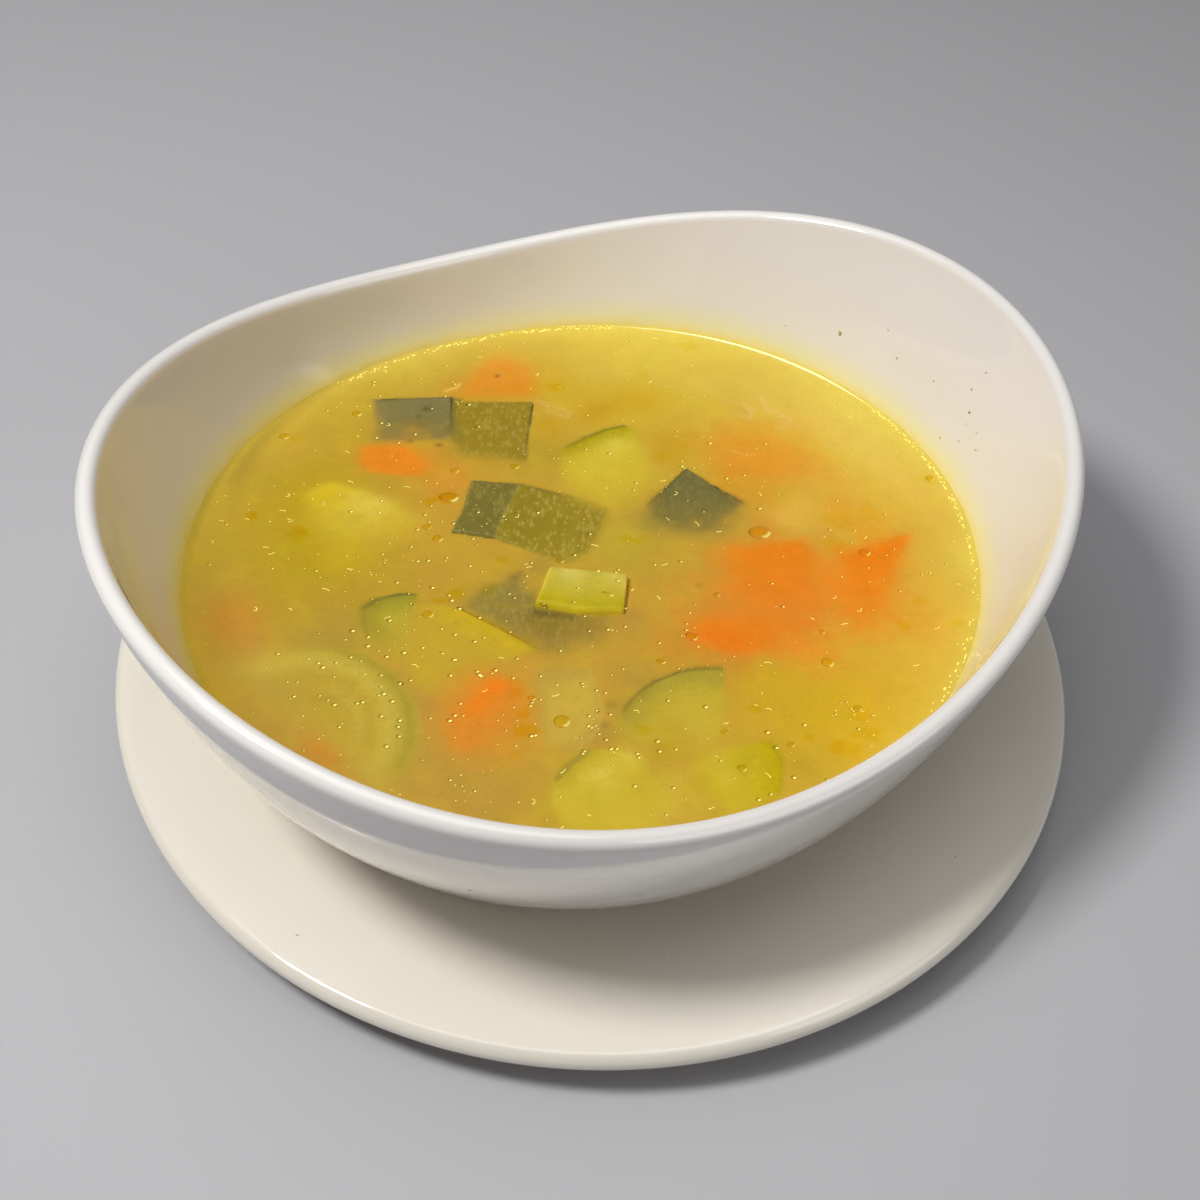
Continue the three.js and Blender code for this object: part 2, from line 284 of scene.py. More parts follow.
def wetMaterial(name):  # the tint attribute, with clouds, grain and flecks, under a wet gloss
    look = wetLooks[name]
    material, tree, shader = newMaterial(name, look["roughness"], wetGloss["ior"])
    shader.inputs["Specular IOR Level"].default_value = wetGloss["specular"]
    place = addNode(tree, "ShaderNodeTexCoord")
    tint = addNode(tree, "ShaderNodeAttribute", attribute_name="tint")
    share = addNode(tree, "ShaderNodeAttribute", attribute_name="fleckShare")
    clouds = placedGroup(tree, cloudGroup, Size=look["clouds"][0], Strength=look["clouds"][1])
    grain = placedGroup(tree, cloudGroup, Size=look["grain"][0], Strength=look["grain"][1])
    flecks = placedGroup(tree, fleckGroup, **skinFlecks)
    amount = addNode(tree, "ShaderNodeMath", operation="MULTIPLY")
    over = addNode(tree, "ShaderNodeMix", {7: opaque(fleckColour)}, data_type="RGBA")
    bump = addNode(
        tree, "ShaderNodeBump", {"Strength": wetGloss["bumpStrength"], "Distance": look["bump"] * mm},
    )
    wire(
        tree,
        (place, "Object", clouds, "Vector"), (place, "Object", grain, "Vector"),
        (place, "Object", flecks, "Vector"), (tint, "Color", clouds, "Color"),
        (clouds, "Color", grain, "Color"), (flecks, "Mask", amount, 0), (share, "Fac", amount, 1),
        (amount, "Value", over, 0),
        (grain, "Color", over, 6), (over, 2, shader, "Base Color"),
        (grain, "Height", bump, "Height"), (bump, "Normal", shader, "Normal"),
    )
    return material


wet = {name: wetMaterial(name) for name in wetLooks}
wetSlots = {
    "courgette_skin": "courgetteSkin", "courgette_flesh": "courgetteFlesh",
    "onion": "onionFlesh", "carrot": "carrotFlesh",
}
print("materials made")


def nodeCopy(nodeName):  # a CAD node's mesh, merged
    work = bmesh.new()
    work.from_mesh(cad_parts[nodeName].data)
    bmesh.ops.remove_doubles(work, verts=work.verts, dist=0.01 * mm)
    return work


def addPiece(name, work, material, slotName, *nodeNames):
    mesh = bpy.data.meshes.new(name)
    work.to_mesh(mesh)
    work.free()
    mesh.materials.append(material)
    mesh.shade_smooth()
    piece = bpy.data.objects.new(name, mesh)
    scene.collection.objects.link(piece)
    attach(piece, "root")
    if nodeNames:
        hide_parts(*nodeNames)
    return piece


def smoothed(piece, levels):
    finer = piece.modifiers.new("finer", "SUBSURF")
    finer.levels = levels
    finer.render_levels = levels


def setAttribute(mesh, name, values):
    values = np.asarray(values, dtype=np.float32)
    layer = mesh.attributes.get(name)
    if values.ndim == 1:
        layer = layer or mesh.attributes.new(name, "FLOAT", "POINT")
        layer.data.foreach_set("value", values)
    else:
        layer = layer or mesh.attributes.new(name, "FLOAT_COLOR", "POINT")
        filled = np.ones((len(values), 4), dtype=np.float32)
        filled[:, :3] = values
        layer.data.foreach_set("color", filled.ravel())


def places(mesh):  # vertex coordinates as an array
    values = np.empty(3 * len(mesh.vertices))
    mesh.vertices.foreach_get("co", values)
    return values.reshape(-1, 3)


def normalsOf(mesh):
    return np.array([vert.normal for vert in mesh.vertices])


def quadCopy(nodeName):  # the turned nodes' triangles joined to quads again
    work = nodeCopy(nodeName)
    bmesh.ops.join_triangles(
        work, faces=work.faces, angle_face_threshold=math.radians(60), angle_shape_threshold=math.radians(60),
    )
    return work


plate = addPiece(
    "plate_glazed", quadCopy("plate"), glazeMaterial("plateGlaze", glaze["plate"], False),
    "plate_glaze", "plate",
)
smoothed(plate, 2)

bowl = addPiece(
    "bowl_glazed", quadCopy("bowl"), glazeMaterial("bowlGlaze", glaze["bowl"], True),
    "bowl_glaze", "bowl",
)


def stainShares(mesh):  # on the inner wall, strongest at the left
    away = (places(mesh) / mm)[:, :2] - bowlAxis
    turn = np.arctan2(away[:, 1], away[:, 0])
    inner = (away * normalsOf(mesh)[:, :2]).sum(1) < 0
    left = ramp(-np.cos(turn - stain["leftTurn"]), 0.1, 0.8)
    return np.where(inner, stain["share"] + stain["leftMore"] * left, 0)


setAttribute(bowl.data, "stain", stainShares(bowl.data))
smoothed(bowl, 2)
print("plate and bowl made", len(plate.data.polygons), len(bowl.data.polygons))


# The vegetables' looks: "flesh" is the main colour, "edge" the line where the skin shows, "green" the band
# inside it, "spots" soft patches as (x, y, reach, colour, share), "strokes" soft lines as (line, width,
# colour, share). "clear" is how well the broth shows a piece, "haze" how blurred it is, and "spread" how fast
# it blurs with its depth
halfCentre = (-64, -60.4)
vegetables = {
    "courgette_skin_back_left": {
        "flesh": (130, 119, 68), "edge": [(-60, 53.4), (-41.8, 55.9), (-40.2, 39.2)],
        "edgeColour": (86, 84, 46), "edgeWidth": 0.55, "clear": 9.0, "spread": 0.4,
        "spots": [(-50, 52, 7, (118, 113, 74), 0.5), (-50, 40, 4.5, (182, 138, 54), 0.6),
                  (-49.6, 43.8, 1.0, (92, 78, 34), 0.8), (-49.8, 47.6, 0.7, (96, 84, 40), 0.7),
                  (-48.2, 50.4, 0.9, (92, 82, 40), 0.8)],
    },
    "courgette_skin_back_right": {
        "flesh": (150, 128, 38), "edge": [(-20.4, 32.4), (-20.2, 55.4)], "edgeColour": (120, 108, 42),
        "edgeWidth": 0.5, "flecks": 0.42, "clear": 3.2,
    },
    "courgette_skin_middle": {
        "flesh": (147, 129, 38), "edge": [(-33.5, 23.8), (-21.3, 23.3), (-9.5, 20.6), (1.4, 16.6)],
        "edgeColour": (104, 94, 38), "edgeWidth": 0.5, "flecks": 0.6, "clear": 9.0, "spread": 0.25,
        "paintedSideLight": 0.3,
        # the darker colour left of the line is a painted reflection: the tilted part of the skin shows a
        # dimmer reflection
        "dark": {"colour": (121, 111, 50), "line": [(-25.6, 5.0), (-21.4, 22.0)], "flecks": 0.45},
        "strokes": [([(-25.6, 5.0), (-21.4, 22.0)], 0.5, (160, 144, 60), 0.5)],
    },
    "courgette_skin_right": {
        "flesh": (112, 106, 58), "edge": [(11.2, 18.6), (20.9, 33), (35.8, 21.6)], "edgeColour": (70, 72, 42),
        "edgeWidth": 0.6, "flecks": 0.15, "clear": 2.2,
        "spots": [(24, 20, 6, (134, 124, 68), 0.5), (24.4, 18.1, 1.1, (84, 78, 34), 0.8)],
    },
    "courgette_wedge_back": {
        "flesh": (210, 186, 52), "edge": [(-10.8, 38.6), (-5.7, 43.2), (-0.6, 46.7), (4.6, 48.9)],
        "edgeColour": (112, 112, 34), "edgeWidth": 0.6, "clear": 3.4, "haze": 0.6,
        "green": (172, 156, 16), "greenReach": 4.2,
        "spots": [(2, 41, 4, (226, 208, 84), 0.5), (-2, 33, 5, (218, 196, 64), 0.5)],
    },
    "courgette_stick": {
        "flesh": (198, 180, 60), "edge": [(-14.4, -18.6), (-4, -20.6), (6.6, -19.8)],
        "edgeColour": (168, 150, 34), "edgeWidth": 0.5, "green": (182, 166, 16), "greenReach": 4.4,
        "paintedSideLight": 1.3,
        # the last spot lightens the stick's right end: partly its own lighter edge, partly painted light
        # against its shade
        "spots": [(-6, -9, 3.5, (216, 202, 104), 0.6), (4, -9, 3, (214, 200, 100), 0.5),
                  (8.4, -12, 2.4, (244, 206, 96), 0.8)],
    },
    "courgette_chunk_left": {
        "flesh": (188, 168, 54), "edge": [(-53, -31), (-55.2, -23), (-50.8, -18.6), (-42.6, -16.9)],
        "edgeColour": (124, 116, 46), "edgeWidth": 0.7, "green": (154, 144, 44), "greenReach": 6.0,
        "clear": 3.4, "haze": 0.6,
    },
    "courgette_strip_left": {
        "flesh": (194, 162, 50), "edge": [(-32.4, -20.6), (-22, -26.4), (-12.4, -32.2)],
        "edgeColour": (156, 128, 30), "edgeWidth": 0.6, "green": (202, 170, 34), "greenReach": 5.0,
        "clear": 1.6, "haze": 0.6,
    },
    "courgette_half_slice": {
        "flesh": (184, 156, 54), "edge": arcLine(halfCentre, 24.9, -20, 104), "edgeColour": (170, 150, 52),
        "edgeWidth": 0.9, "green": (176, 158, 56), "greenReach": 2.6, "haze": 0.9,
        "spots": [(-80, -56, 12, (148, 128, 68), 0.8)],
        "strokes": [
            (arcLine(halfCentre, 27.6, -30, 60), 1.4, (190, 152, 58), 0.9),
            (arcLine(halfCentre, 21, -36, 165), 2.8, (202, 182, 76), 0.55),
            (arcLine(halfCentre, 16.2, -36, 160), 1.0, (172, 146, 48), 0.3),
            (arcLine(halfCentre, 13.6, -30, 60), 1.3, (202, 178, 74), 0.4),
            ([(-62.4, -51.8), (-60.4, -51.4), (-56.4, -50.3)], 0.6, (146, 118, 44), 0.6),
            (arcLine(halfCentre, 9, 20, 120), 1.2, (176, 150, 46), 0.35),
        ],
    },
    "courgette_wedge_front": {
        "flesh": (200, 174, 54), "edge": arcLine((29, -58), 23.2, 86, 158), "edgeColour": (122, 110, 46),
        "edgeWidth": 0.55, "green": (170, 154, 54), "greenReach": 6.4, "clear": 3.0, "haze": 0.5,
        "spots": [(24, -52, 5, (204, 180, 66), 0.4), (18, -54, 3, (182, 150, 36), 0.5)],
    },
    "courgette_slice_front_left": {
        "flesh": (202, 178, 52), "edge": [(-6.1, -69.4), (-3.5, -65.6), (-0.4, -61.8), (2.7, -56.7)],
        "edgeColour": (166, 144, 50), "edgeWidth": 0.8, "green": (186, 162, 44), "greenReach": 3.0,
        "clear": 2.6, "haze": 0.5,
        "spots": [
            (14.6, -65.6, 2.2, (180, 144, 44), 0.6), (11.9, -71.3, 1.6, (186, 150, 40), 0.5),
            (4, -68, 3.5, (222, 202, 84), 0.55), (9.5, -62, 2.6, (222, 200, 84), 0.5),
        ],
        "strokes": [([(1, -75), (3, -70), (6.4, -68), (11, -68.6)], 0.8, (188, 160, 42), 0.35)],
    },
    "courgette_slice_front_right": {
        "flesh": (202, 178, 42), "edge": [(40.4, -55.2), (43.6, -60.6), (42.6, -70.2)],
        "edgeColour": (182, 158, 24), "edgeWidth": 0.8, "green": (188, 166, 14), "greenReach": 6.0,
        "clear": 2.8, "haze": 0.45,
        "spots": [
            (34.8, -63.5, 1.8, (182, 152, 18), 0.6), (25.3, -68.9, 2.6, (184, 148, 36), 0.55),
            (27, -58.4, 3.4, (218, 198, 78), 0.5), (30, -66, 3, (214, 192, 66), 0.4),
        ],
    },
    "onion_front": {"flesh": (200, 168, 66), "haze": 0.8},
    "carrot_back": {
        "flesh": (226, 136, 34), "haze": 0.9,
        "spots": [(-49, 35, 3.4, (246, 142, 32), 0.8), (-59, 38, 4, (216, 140, 44), 0.7)],
    },
    "carrot_front": {
        "flesh": (214, 138, 44), "haze": 1.0,
        "spots": [(-22.8, -44.5, 4.2, (240, 128, 24), 0.95), (-25.6, -50.5, 3.6, (238, 128, 28), 0.85)],
    },
    "carrot_right_back": {"flesh": (234, 132, 28), "haze": 1.6, "clear": 1.6},
    "carrot_right_side": {"flesh": (236, 132, 24), "haze": 1.3, "clear": 2.2},
    "carrot_right_front": {
        "flesh": (232, 130, 32), "haze": 1.4, "clear": 1.6,
        "spots": [(30, -24, 7, (240, 124, 22), 0.5), (52, -24, 5, (238, 120, 28), 0.5)],
    },
}


def slotOf(name):
    kind = name.split("_")[0]
    if kind == "courgette":
        kind += "_skin" if "_skin_" in name else "_flesh"
    return kind


def withSpots(colour, x, y, spots):
    for px, py, reach, spotColour, share in spots:
        near = np.exp(-((x - px) ** 2 + (y - py) ** 2) / reach ** 2)
        colour = mixed(colour, linear(spotColour), near * share)
    return colour


def withStrokes(colour, x, y, strokes):
    for line, width, strokeColour, share in strokes:
        near = np.exp(-((distanceTo(x, y, line) / width) ** 2))
        colour = mixed(colour, linear(strokeColour), near * share)
    return colour


def withEdge(colour, look, x, y, share=1.0):
    if "edge" not in look:
        return colour
    line = 1 - ramp(distanceTo(x, y, look["edge"]), 0.4 * look["edgeWidth"], 1.4 * look["edgeWidth"])
    return mixed(colour, linear(look["edgeColour"]), line * share)


def darkSide(look, x, y):  # 1 left of the fold's line
    (ax, ay), (bx, by) = look["dark"]["line"]
    side = ((x - ax) * (by - ay) - (y - ay) * (bx - ax)) / math.hypot(bx - ax, by - ay)
    return ramp(-side, -0.3, 0.3)


def fleckShares(look, x, y):
    shares = np.full(np.shape(x), look.get("flecks", 0.0))
    return shares * (1 - (1 - look["dark"]["flecks"]) * darkSide(look, x, y)) if "dark" in look else shares


def paint(look, x, y):  # colour of a vegetable's upper face at points in mm
    colour = np.tile(linear(look["flesh"]), (*np.shape(x), 1))
    if "dark" in look:
        colour = mixed(colour, linear(look["dark"]["colour"]), darkSide(look, x, y))
    colour = withSpots(colour, x, y, look.get("spots", ()))
    colour = withStrokes(colour, x, y, look.get("strokes", ()))
    if "green" in look:
        away = distanceTo(x, y, look["edge"])
        colour = mixed(colour, linear(look["green"]), np.exp(-((away / look["greenReach"]) ** 2)))
    return withEdge(colour, look, x, y)


# Among these, the lift of steep sides is painted light against their shade
vegetableGrain = {
    "voxel": 0.3, "paintedSideLightUsual": 1.0, "soften": 6, "softenHazy": 30,
    "softenMore": {"carrot_front": 60, "carrot_back": 60, "carrot_right_front": 60, "courgette_stick": 24,
                   "courgette_slice_front_right": 50, "courgette_wedge_front": 60,
                   "courgette_wedge_back": 50},
}


# Steep sides are painted lighter: painted light that offsets the shade on them
def colourMesh(mesh, look, paintedSideLight=0.0):
    x, y = (places(mesh) / mm)[:, :2].T
    steep = 1 - np.clip(normalsOf(mesh)[:, 2], 0, 1)
    setAttribute(mesh, "tint", lifted(paint(look, x, y), 1 + paintedSideLight * steep))
    setAttribute(mesh, "fleckShare", fleckShares(look, x, y))


def makeVegetable(name, look):
    piece = addPiece(name + "_cut", nodeCopy(name), wet[wetSlots[slotOf(name)]], slotOf(name), name)
    remesh = piece.modifiers.new("even", "REMESH")
    remesh.mode = "VOXEL"
    remesh.voxel_size = vegetableGrain["voxel"] * mm
    soften = piece.modifiers.new("soften", "SMOOTH")
    soften.factor = 0.5
    usual = vegetableGrain["softenHazy" if "haze" in look else "soften"]
    soften.iterations = vegetableGrain["softenMore"].get(name, usual)
    graph = bpy.context.evaluated_depsgraph_get()
    finished = bpy.data.meshes.new_from_object(piece.evaluated_get(graph))
    piece.modifiers.clear()
    rough, piece.data = piece.data, finished
    bpy.data.meshes.remove(rough)
    finished.name = name + "_cut"
    finished.shade_smooth()
    colourMesh(finished, look, look.get("paintedSideLight", vegetableGrain["paintedSideLightUsual"]))
    return piece


for name, look in vegetables.items():
    made = makeVegetable(name, look)
    print(made.name, len(made.data.polygons))
print("vegetables at the surface made")


# Pieces wholly under the surface: "depth" of the upper face in mm, "lean" its rise per mm to the right
# and to the back
sunken = {
    "courgette_skin_sunk": {
        "outline": [(-31.4, -19.9), (-26.8, -12.9), (-18.8, -8.9), (-13.4, -16.8), (5.8, -19.1), (1.4, -28.5),
                    (-8.8, -34), (-19.6, -28.6)],
        "depth": 1.0, "lean": (-0.02, 0.02), "thick": 7, "flecks": 0.4, "flesh": (118, 112, 58),
        # the dark spots at (-10, -24) and (-11, -21.5) are painted shade under the stick
        "spots": [(-22, -15, 5, (136, 126, 66), 0.7), (-10, -24, 5, (90, 84, 40), 0.5),
                  (0, -25, 6, (104, 90, 38), 0.5), (-11, -21.5, 4.5, (62, 60, 28), 0.8),
                  (-1, -30, 4, (150, 128, 60), 0.6)],
    },
    "courgette_skin_sunk_back": {
        "outline": [(-42.4, 56.0), (-39.2, 55.9), (-36.6, 36.2), (-40.2, 38.7)],
        "depth": 0.2, "thick": 5, "bevel": 0.4, "flesh": (126, 112, 52),
    },
    "courgette_piece_sunk_left": {
        "outline": [(-75, 15), (-69.5, 20.4), (-60, 17.8), (-51, 14), (-45.4, 8), (-50, 1),
                    (-60, -2.4), (-69, 1)],
        "depth": 1.1, "lean": (0.0, 0.09), "thick": 7, "flesh": (214, 188, 52),
        "spots": [(-58, 12, 6, (232, 210, 92), 0.7), (-69, 15, 4, (216, 182, 18), 0.6)],
    },
    "courgette_piece_sunk_lower": {
        "outline": [(-68, -2), (-60, -0.5), (-51.5, -4), (-53, -10), (-63, -11)],
        "depth": 3.0, "thick": 6, "flesh": (222, 196, 8),
    },
    "courgette_piece_sunk_front": {
        "outline": [(32.6, -38.9), (39.8, -32), (47.5, -33.8), (59.4, -40.6), (61, -52.2), (46, -56.2)],
        "depth": 1.9, "lean": (-0.02, 0.03), "thick": 8, "flesh": (206, 172, 30),
    },
    "courgette_slice_sunk_left": {
        "outline": [(-42.5, -32.2), (-37.6, -28), (-32.9, -31.1), (-32.4, -39.7),
                    (-35.4, -46.6), (-40.5, -45.2)],
        "depth": 1.2, "lean": (0.0, 0.02), "thick": 7, "flesh": (198, 170, 40),
    },
    "courgette_piece_sunk_low": {
        "outline": [(13.5, -69.5), (19.7, -66.2), (25.4, -69.5), (27.6, -75.4), (20.7, -78), (13.6, -77.6)],
        "depth": 1.2, "thick": 2.5, "bevel": 0.8, "flesh": (212, 182, 62),
    },
    "carrot_sunk_back": {
        "outline": [(-30.8, 76.4), (-22.1, 71.6), (-18.2, 58.2), (-40.9, 56.1), (-36.2, 69.3)],
        "depth": 1.1, "thick": 9, "flesh": (228, 134, 30),
    },
    "carrot_sunk_right": {
        "outline": [(24, 44), (31, 49.5), (45, 50), (57, 41), (60, 34), (47, 29.5), (29, 33)],
        "depth": 2.5, "thick": 10, "flesh": (236, 124, 28),
    },
    "carrot_sunk_middle": {
        "outline": [(36, -3), (50, -3), (57, -13), (50, -24), (38, -22), (32, -13)],
        "depth": 1.9, "thick": 8, "flesh": (236, 126, 34),
    },
    "carrot_sunk_left": {
        "outline": [(-93, -28), (-87, -20.4), (-78.7, -25.2), (-78.7, -33.8), (-85.9, -40.3)],
        "depth": 3.2, "thick": 8, "flesh": (214, 112, 46),
    },
    "carrot_sunk_front": {
        "outline": [(-63.4, -63.7), (-57.4, -61.3), (-52.6, -65), (-51.9, -69.6), (-59.1, -67.5)],
        "depth": 0.8, "thick": 7, "flesh": (204, 118, 40),
    },
    "onion_sunk_right": {
        "outline": [(42, 15.6), (45.6, 21.8), (52.9, 26.6), (53.7, 19), (48.8, 11.9)],
        "depth": 1.0, "thick": 3, "flesh": (230, 184, 78),
    },
    "onion_sunk_front": {
        "outline": [(-13.7, -39.4), (-7.4, -36.5), (-0.5, -37.2), (3.5, -50), (1.8, -56.8), (-2.6, -61.9),
                    (-8.7, -59.6), (-12.2, -53.6)],
        "depth": 0.5, "lean": (0.03, 0.0), "thick": 3, "flesh": (186, 154, 66), "spread": 0.3, "bevel": 0.6,
        "strokes": [([(-0.5, -37.2), (3.5, -50), (1.8, -56.8), (-2.6, -61.9)], 0.8, (216, 188, 92), 0.35)],
    },
}


def makeSunken(name, look):
    work = bmesh.new()
    middle = np.mean(look["outline"], axis=0)
    corners = []
    for corner in look["outline"]:
        rise = np.dot(look.get("lean", (0, 0)), corner - middle)
        corners.append(work.verts.new(Vector((*corner, brothLevel - look["depth"] + rise)) * mm))
    face = work.faces.new(corners)
    grown = bmesh.ops.extrude_face_region(work, geom=[face])["geom"]
    lower = [part for part in grown if isinstance(part, bmesh.types.BMVert)]
    bmesh.ops.translate(work, verts=lower, vec=(0, 0, -look["thick"] * mm))
    bmesh.ops.recalc_face_normals(work, faces=work.faces)
    bmesh.ops.bevel(
        work, geom=work.edges[:], offset=look.get("bevel", 1.2) * mm, affect="EDGES", segments=3, profile=0.5,
        material=-1,
    )
    bmesh.ops.triangulate(work, faces=work.faces)
    piece = addPiece(name, work, wet[wetSlots[slotOf(name)]], slotOf(name))
    colourMesh(piece.data, look)


for name, look in sunken.items():
    makeSunken(name, look)
print("sunken vegetables made")


# The broth's surface is coloured by what lies under it, veiled and blurred with its depth
broth = {
    "cells": 300,
    "intoWall": 0.8,      # how far the surface reaches into the bowl's wall
    "climb": 0.45,        # height of the meniscus at the wall
    "climbReach": 0.9,
    "climbUneven": 0.08,
    "pieceClimb": 0.14,   # and round the floating pieces
    "clearness": 2.7,     # depth at which a piece is veiled to a third
    "blurs": (0.25, 0.7, 1.5, 3.0, 5.5),
    "blurPerDepth": 1.2,
    "milk": 0.16,         # how much the veil varies from place to place
    "middle": (194, 156, 54),
    "lemon": (222, 192, 44),
    "amber": (196, 140, 60),
    "hueShare": 0.07,
    "edgeLeft": (192, 164, 54),
    "edgeBack": (240, 219, 100),
    "edgeReach": 4.5,
    "edgeShare": 0.7,
    "backTurn": 0.9,
    # the left edge's colour is painted lighter, against the shade of the rim
    "leftTurns": (143, 172, 212, 240),  # where the brighter left edge begins, is full, wanes and ends
    "leftWidens": (158, 184),
    "leftPaintedLight": 1.05,
    "leftReach": 5.5,
    "filmLevel": 0.85,    # how level the broth lies over the hazy pieces
    "filmEdge": 0.6,      # how strongly their skin line shows once more on the pieces themselves
    "line": 0.85,         # and in the broth's picture, with its blur and clearness
    "lineBlur": 0.35,
    "lineClearness": 1.35,
    "margin": 14,         # how far round a piece its blurred picture reaches
    "nearReach": 1.2,     # over which a piece's depth is carried past its outline
    "proudDepth": 0.05,   # above which a piece lifts the broth round it
    "coveredDepth": 0.8,  # and above which the broth over it stays level
    "bodyHeights": (41.5, 36, 30, 24, 18.5, 14.5, 12.6),
}
# The broth's hues, where the 'shade' patches are painted shade, and where each shows, as x, y, reach, share
brothHues = {
    "mustard": ((188, 158, 46), [(-60, 62, 38, 0.8), (-69, 50, 12, 0.5), (48, -62, 7, 0.6),
                                 (-4, -77, 6, 0.9)]),
    "straw": ((220, 192, 68), [(10, 80, 40, 0.95)]),
    "pale": ((230, 204, 84), [(65, 58, 26, 0.8), (91, 6, 7, 0.6)]),
    "warm": ((226, 182, 68), [(75, 35, 36, 0.9), (80, -20, 30, 0.9), (52, 50, 8, 0.5), (64, 31, 6, 0.5)]),
    "yolk": ((222, 178, 40), [(62, -48, 24, 0.85)]),
    "golden": ((206, 162, 22), [(8, 60, 9, 0.6), (-16, 66, 8, 0.5)]),
    "moss": ((172, 144, 42), [(-80, -6, 36, 0.9), (-15, 36, 7, 0.6), (-85, 18, 6, 0.5)]),
    "greenGold": ((184, 156, 28), [(-73, 12, 14, 0.7), (-70, -8, 12, 0.6), (17, -59, 4, 0.5)]),
    "ochre": ((198, 156, 56), [(-40, 8, 14, 0.7), (-5, -30, 14, 0.6), (16, -12, 10, 0.5)]),
    "pea": ((186, 170, 54), [(6, 4, 10, 0.6)]),
    "clay": ((175, 138, 62), [
        (-70, -70, 30, 0.7), (-36, -62, 16, 0.5), (-22, -78, 12, 0.5), (-92, -18, 9, 0.3), (-46, -71, 6, 0.8),
        (-38, -50, 5, 0.9), (-79, -38, 5, 0.6), (10, -39, 5, 0.6), (8, -21, 4, 0.6), (3, -57, 4, 0.6),
    ]),
    "sand": ((205, 176, 68), [(10, -80, 12, 0.6), (-52, 68, 9, 0.5)]),
    "honey": ((198, 150, 22), [(-3, 54, 7, 0.6), (18, 42, 7, 0.6), (-15, 47, 5, 0.5)]),
    "apricot": ((212, 146, 38), [(34, 28, 8, 0.6), (42, 24, 5, 0.5)]),
    "orange": ((230, 154, 36), [(77, -16, 7, 0.4), (69, 13, 6, 0.6), (60, 22, 6, 0.5)]),
    "shade": ((160, 140, 60), [(-61, -34, 9, 0.6), (12, 13, 5, 0.6), (-14, -5, 4, 0.5)]),
}
# The orange that the carrots give to the broth round them
carrotGlow = {
    "flame": ((244, 138, 38), [(60, -6, 11, 0.7), (50, -27, 7, 0.5)]),
    "carrot": ((222, 140, 50), [(44, -9, 16, 0.85), (29, -18, 10, 0.6), (-22, -50, 11, 0.5),
                                (-40, 24, 8, 0.5), (42, 12, 4, 0.5), (-54, 39.5, 3, 0.5)]),
    "tawny": ((224, 164, 46), [(40, 42, 15, 0.55), (-29, 66, 10, 0.4)]),
    "dull": ((208, 138, 46), [(-57, 33, 6, 0.4), (33, -33, 6, 0.5), (19, -29, 6, 0.6), (-41, 60, 5, 0.5),
                              (-44, 33, 4, 0.5)]),
    "brown": ((176, 120, 52), [(-86, -30, 10, 0.4), (-57, -66, 7, 0.5)]),
}
# Patches of oil as x, y, reach, share
goldenOilPatches = [
    (-86.4, 6.2, 1.8, 0.6), (-73.9, 2.3, 2.4, 0.6), (-98.0, -8.1, 1.2, 0.5), (-97.4, -23.1, 1.6, 0.4),
    (-13.6, -56.5, 3.0, 0.6), (-14.6, -52.0, 2.2, 0.5), (-16.2, -46.0, 2.0, 0.4), (-17.8, -42.0, 1.8, 0.35),
    (-33.7, -16.2, 3.0, 0.7), (-23.3, -3.8, 2.0, 0.6), (6.8, 6.1, 2.2, 0.5), (12.1, -54.4, 2.2, 0.5),
    (37.0, -46.4, 2.0, 0.5), (60.6, -46.3, 3.0, 0.5), (62.8, -51.1, 3.4, 0.6),
    (49.0, -53.9, 1.6, 0.5), (58.2, -56.3, 4.0, 0.6), (55.1, -55.7, 2.6, 0.6), (67.8, 20.8, 4.5, 0.35),
    (59.9, 17.2, 4.5, 0.35), (58.2, 8.0, 4.0, 0.4), (-37.0, -18.8, 1.8, 0.6), (-25.5, -14.5, 2.4, 0.3),
    (-80.7, 36.1, 2.4, 0.5), (-86.8, 6.5, 2.2, 0.6), (-98.1, -10.5, 1.6, 0.4), (-73.4, 0.2, 3.4, 0.4),
    (-28.6, 84.3, 2.8, 0.6), (83.0, 35.0, 2.0, 0.5), (85.2, 34.4, 2.0, 0.5), (87.1, 27.0, 1.6, 0.5),
    (86.1, -16.1, 2.0, 0.6), (77.8, -9.2, 2.2, 0.4), (73.5, -17.8, 2.2, 0.5), (21.7, 84.7, 3.2, 0.6),
    (24.4, 90.5, 2.6, 0.4), (9.8, 5.7, 2.4, 0.4),
    (-15.7, -63.9, 2.0, 0.3), (44.0, -8.7, 2.0, 0.3), (-43.2, 15.5, 2.2, 0.6),
    (-39.4, 16.9, 3.4, 0.6), (-14.5, 63, 2.8, 0.5), (8.9, 70.4, 2.2, 0.4), (14.5, 36.8, 3.0, 0.4),
]
goldenFilter = (0.97, 0.91, 0.25)  # what an oil patch leaves of the colour under it
# Thin threads of onion in the broth and one painted shade under the stick, and dark crumbs
threadsAndShade = [
    ([(-14.5, -20.6), (-5.5, -21.8)], 1.2, (92, 84, 40), 0.55),  # shade under the stick
    ([(36.7, 60.5), (38.4, 57.6), (38, 55)], 0.9, (240, 200, 128), 0.28),
    ([(41.3, 63.6), (42.6, 59), (46.8, 57)], 0.8, (240, 200, 128), 0.25),
    ([(48.7, 56), (47.6, 53), (45.4, 51.6)], 0.8, (238, 196, 122), 0.25),
    ([(34, 57), (36, 55.6)], 0.8, (238, 196, 122), 0.22),
    ([(-18.9, 56.3), (-15.1, 55.4), (-9.8, 52.6), (-11.1, 50.8), (-16, 52.9)], 0.9, (234, 184, 100), 0.35),
    ([(-44, 58.6), (-41, 60.4), (-40.4, 62)], 0.5, (240, 208, 96), 0.6),
    ([(32.5, 41.6), (36.4, 39.9), (39, 40.8)], 0.5, (240, 180, 80), 0.4),
    ([(52, -22), (54, -20), (57, -21.4)], 0.5, (244, 168, 60), 0.4),
]
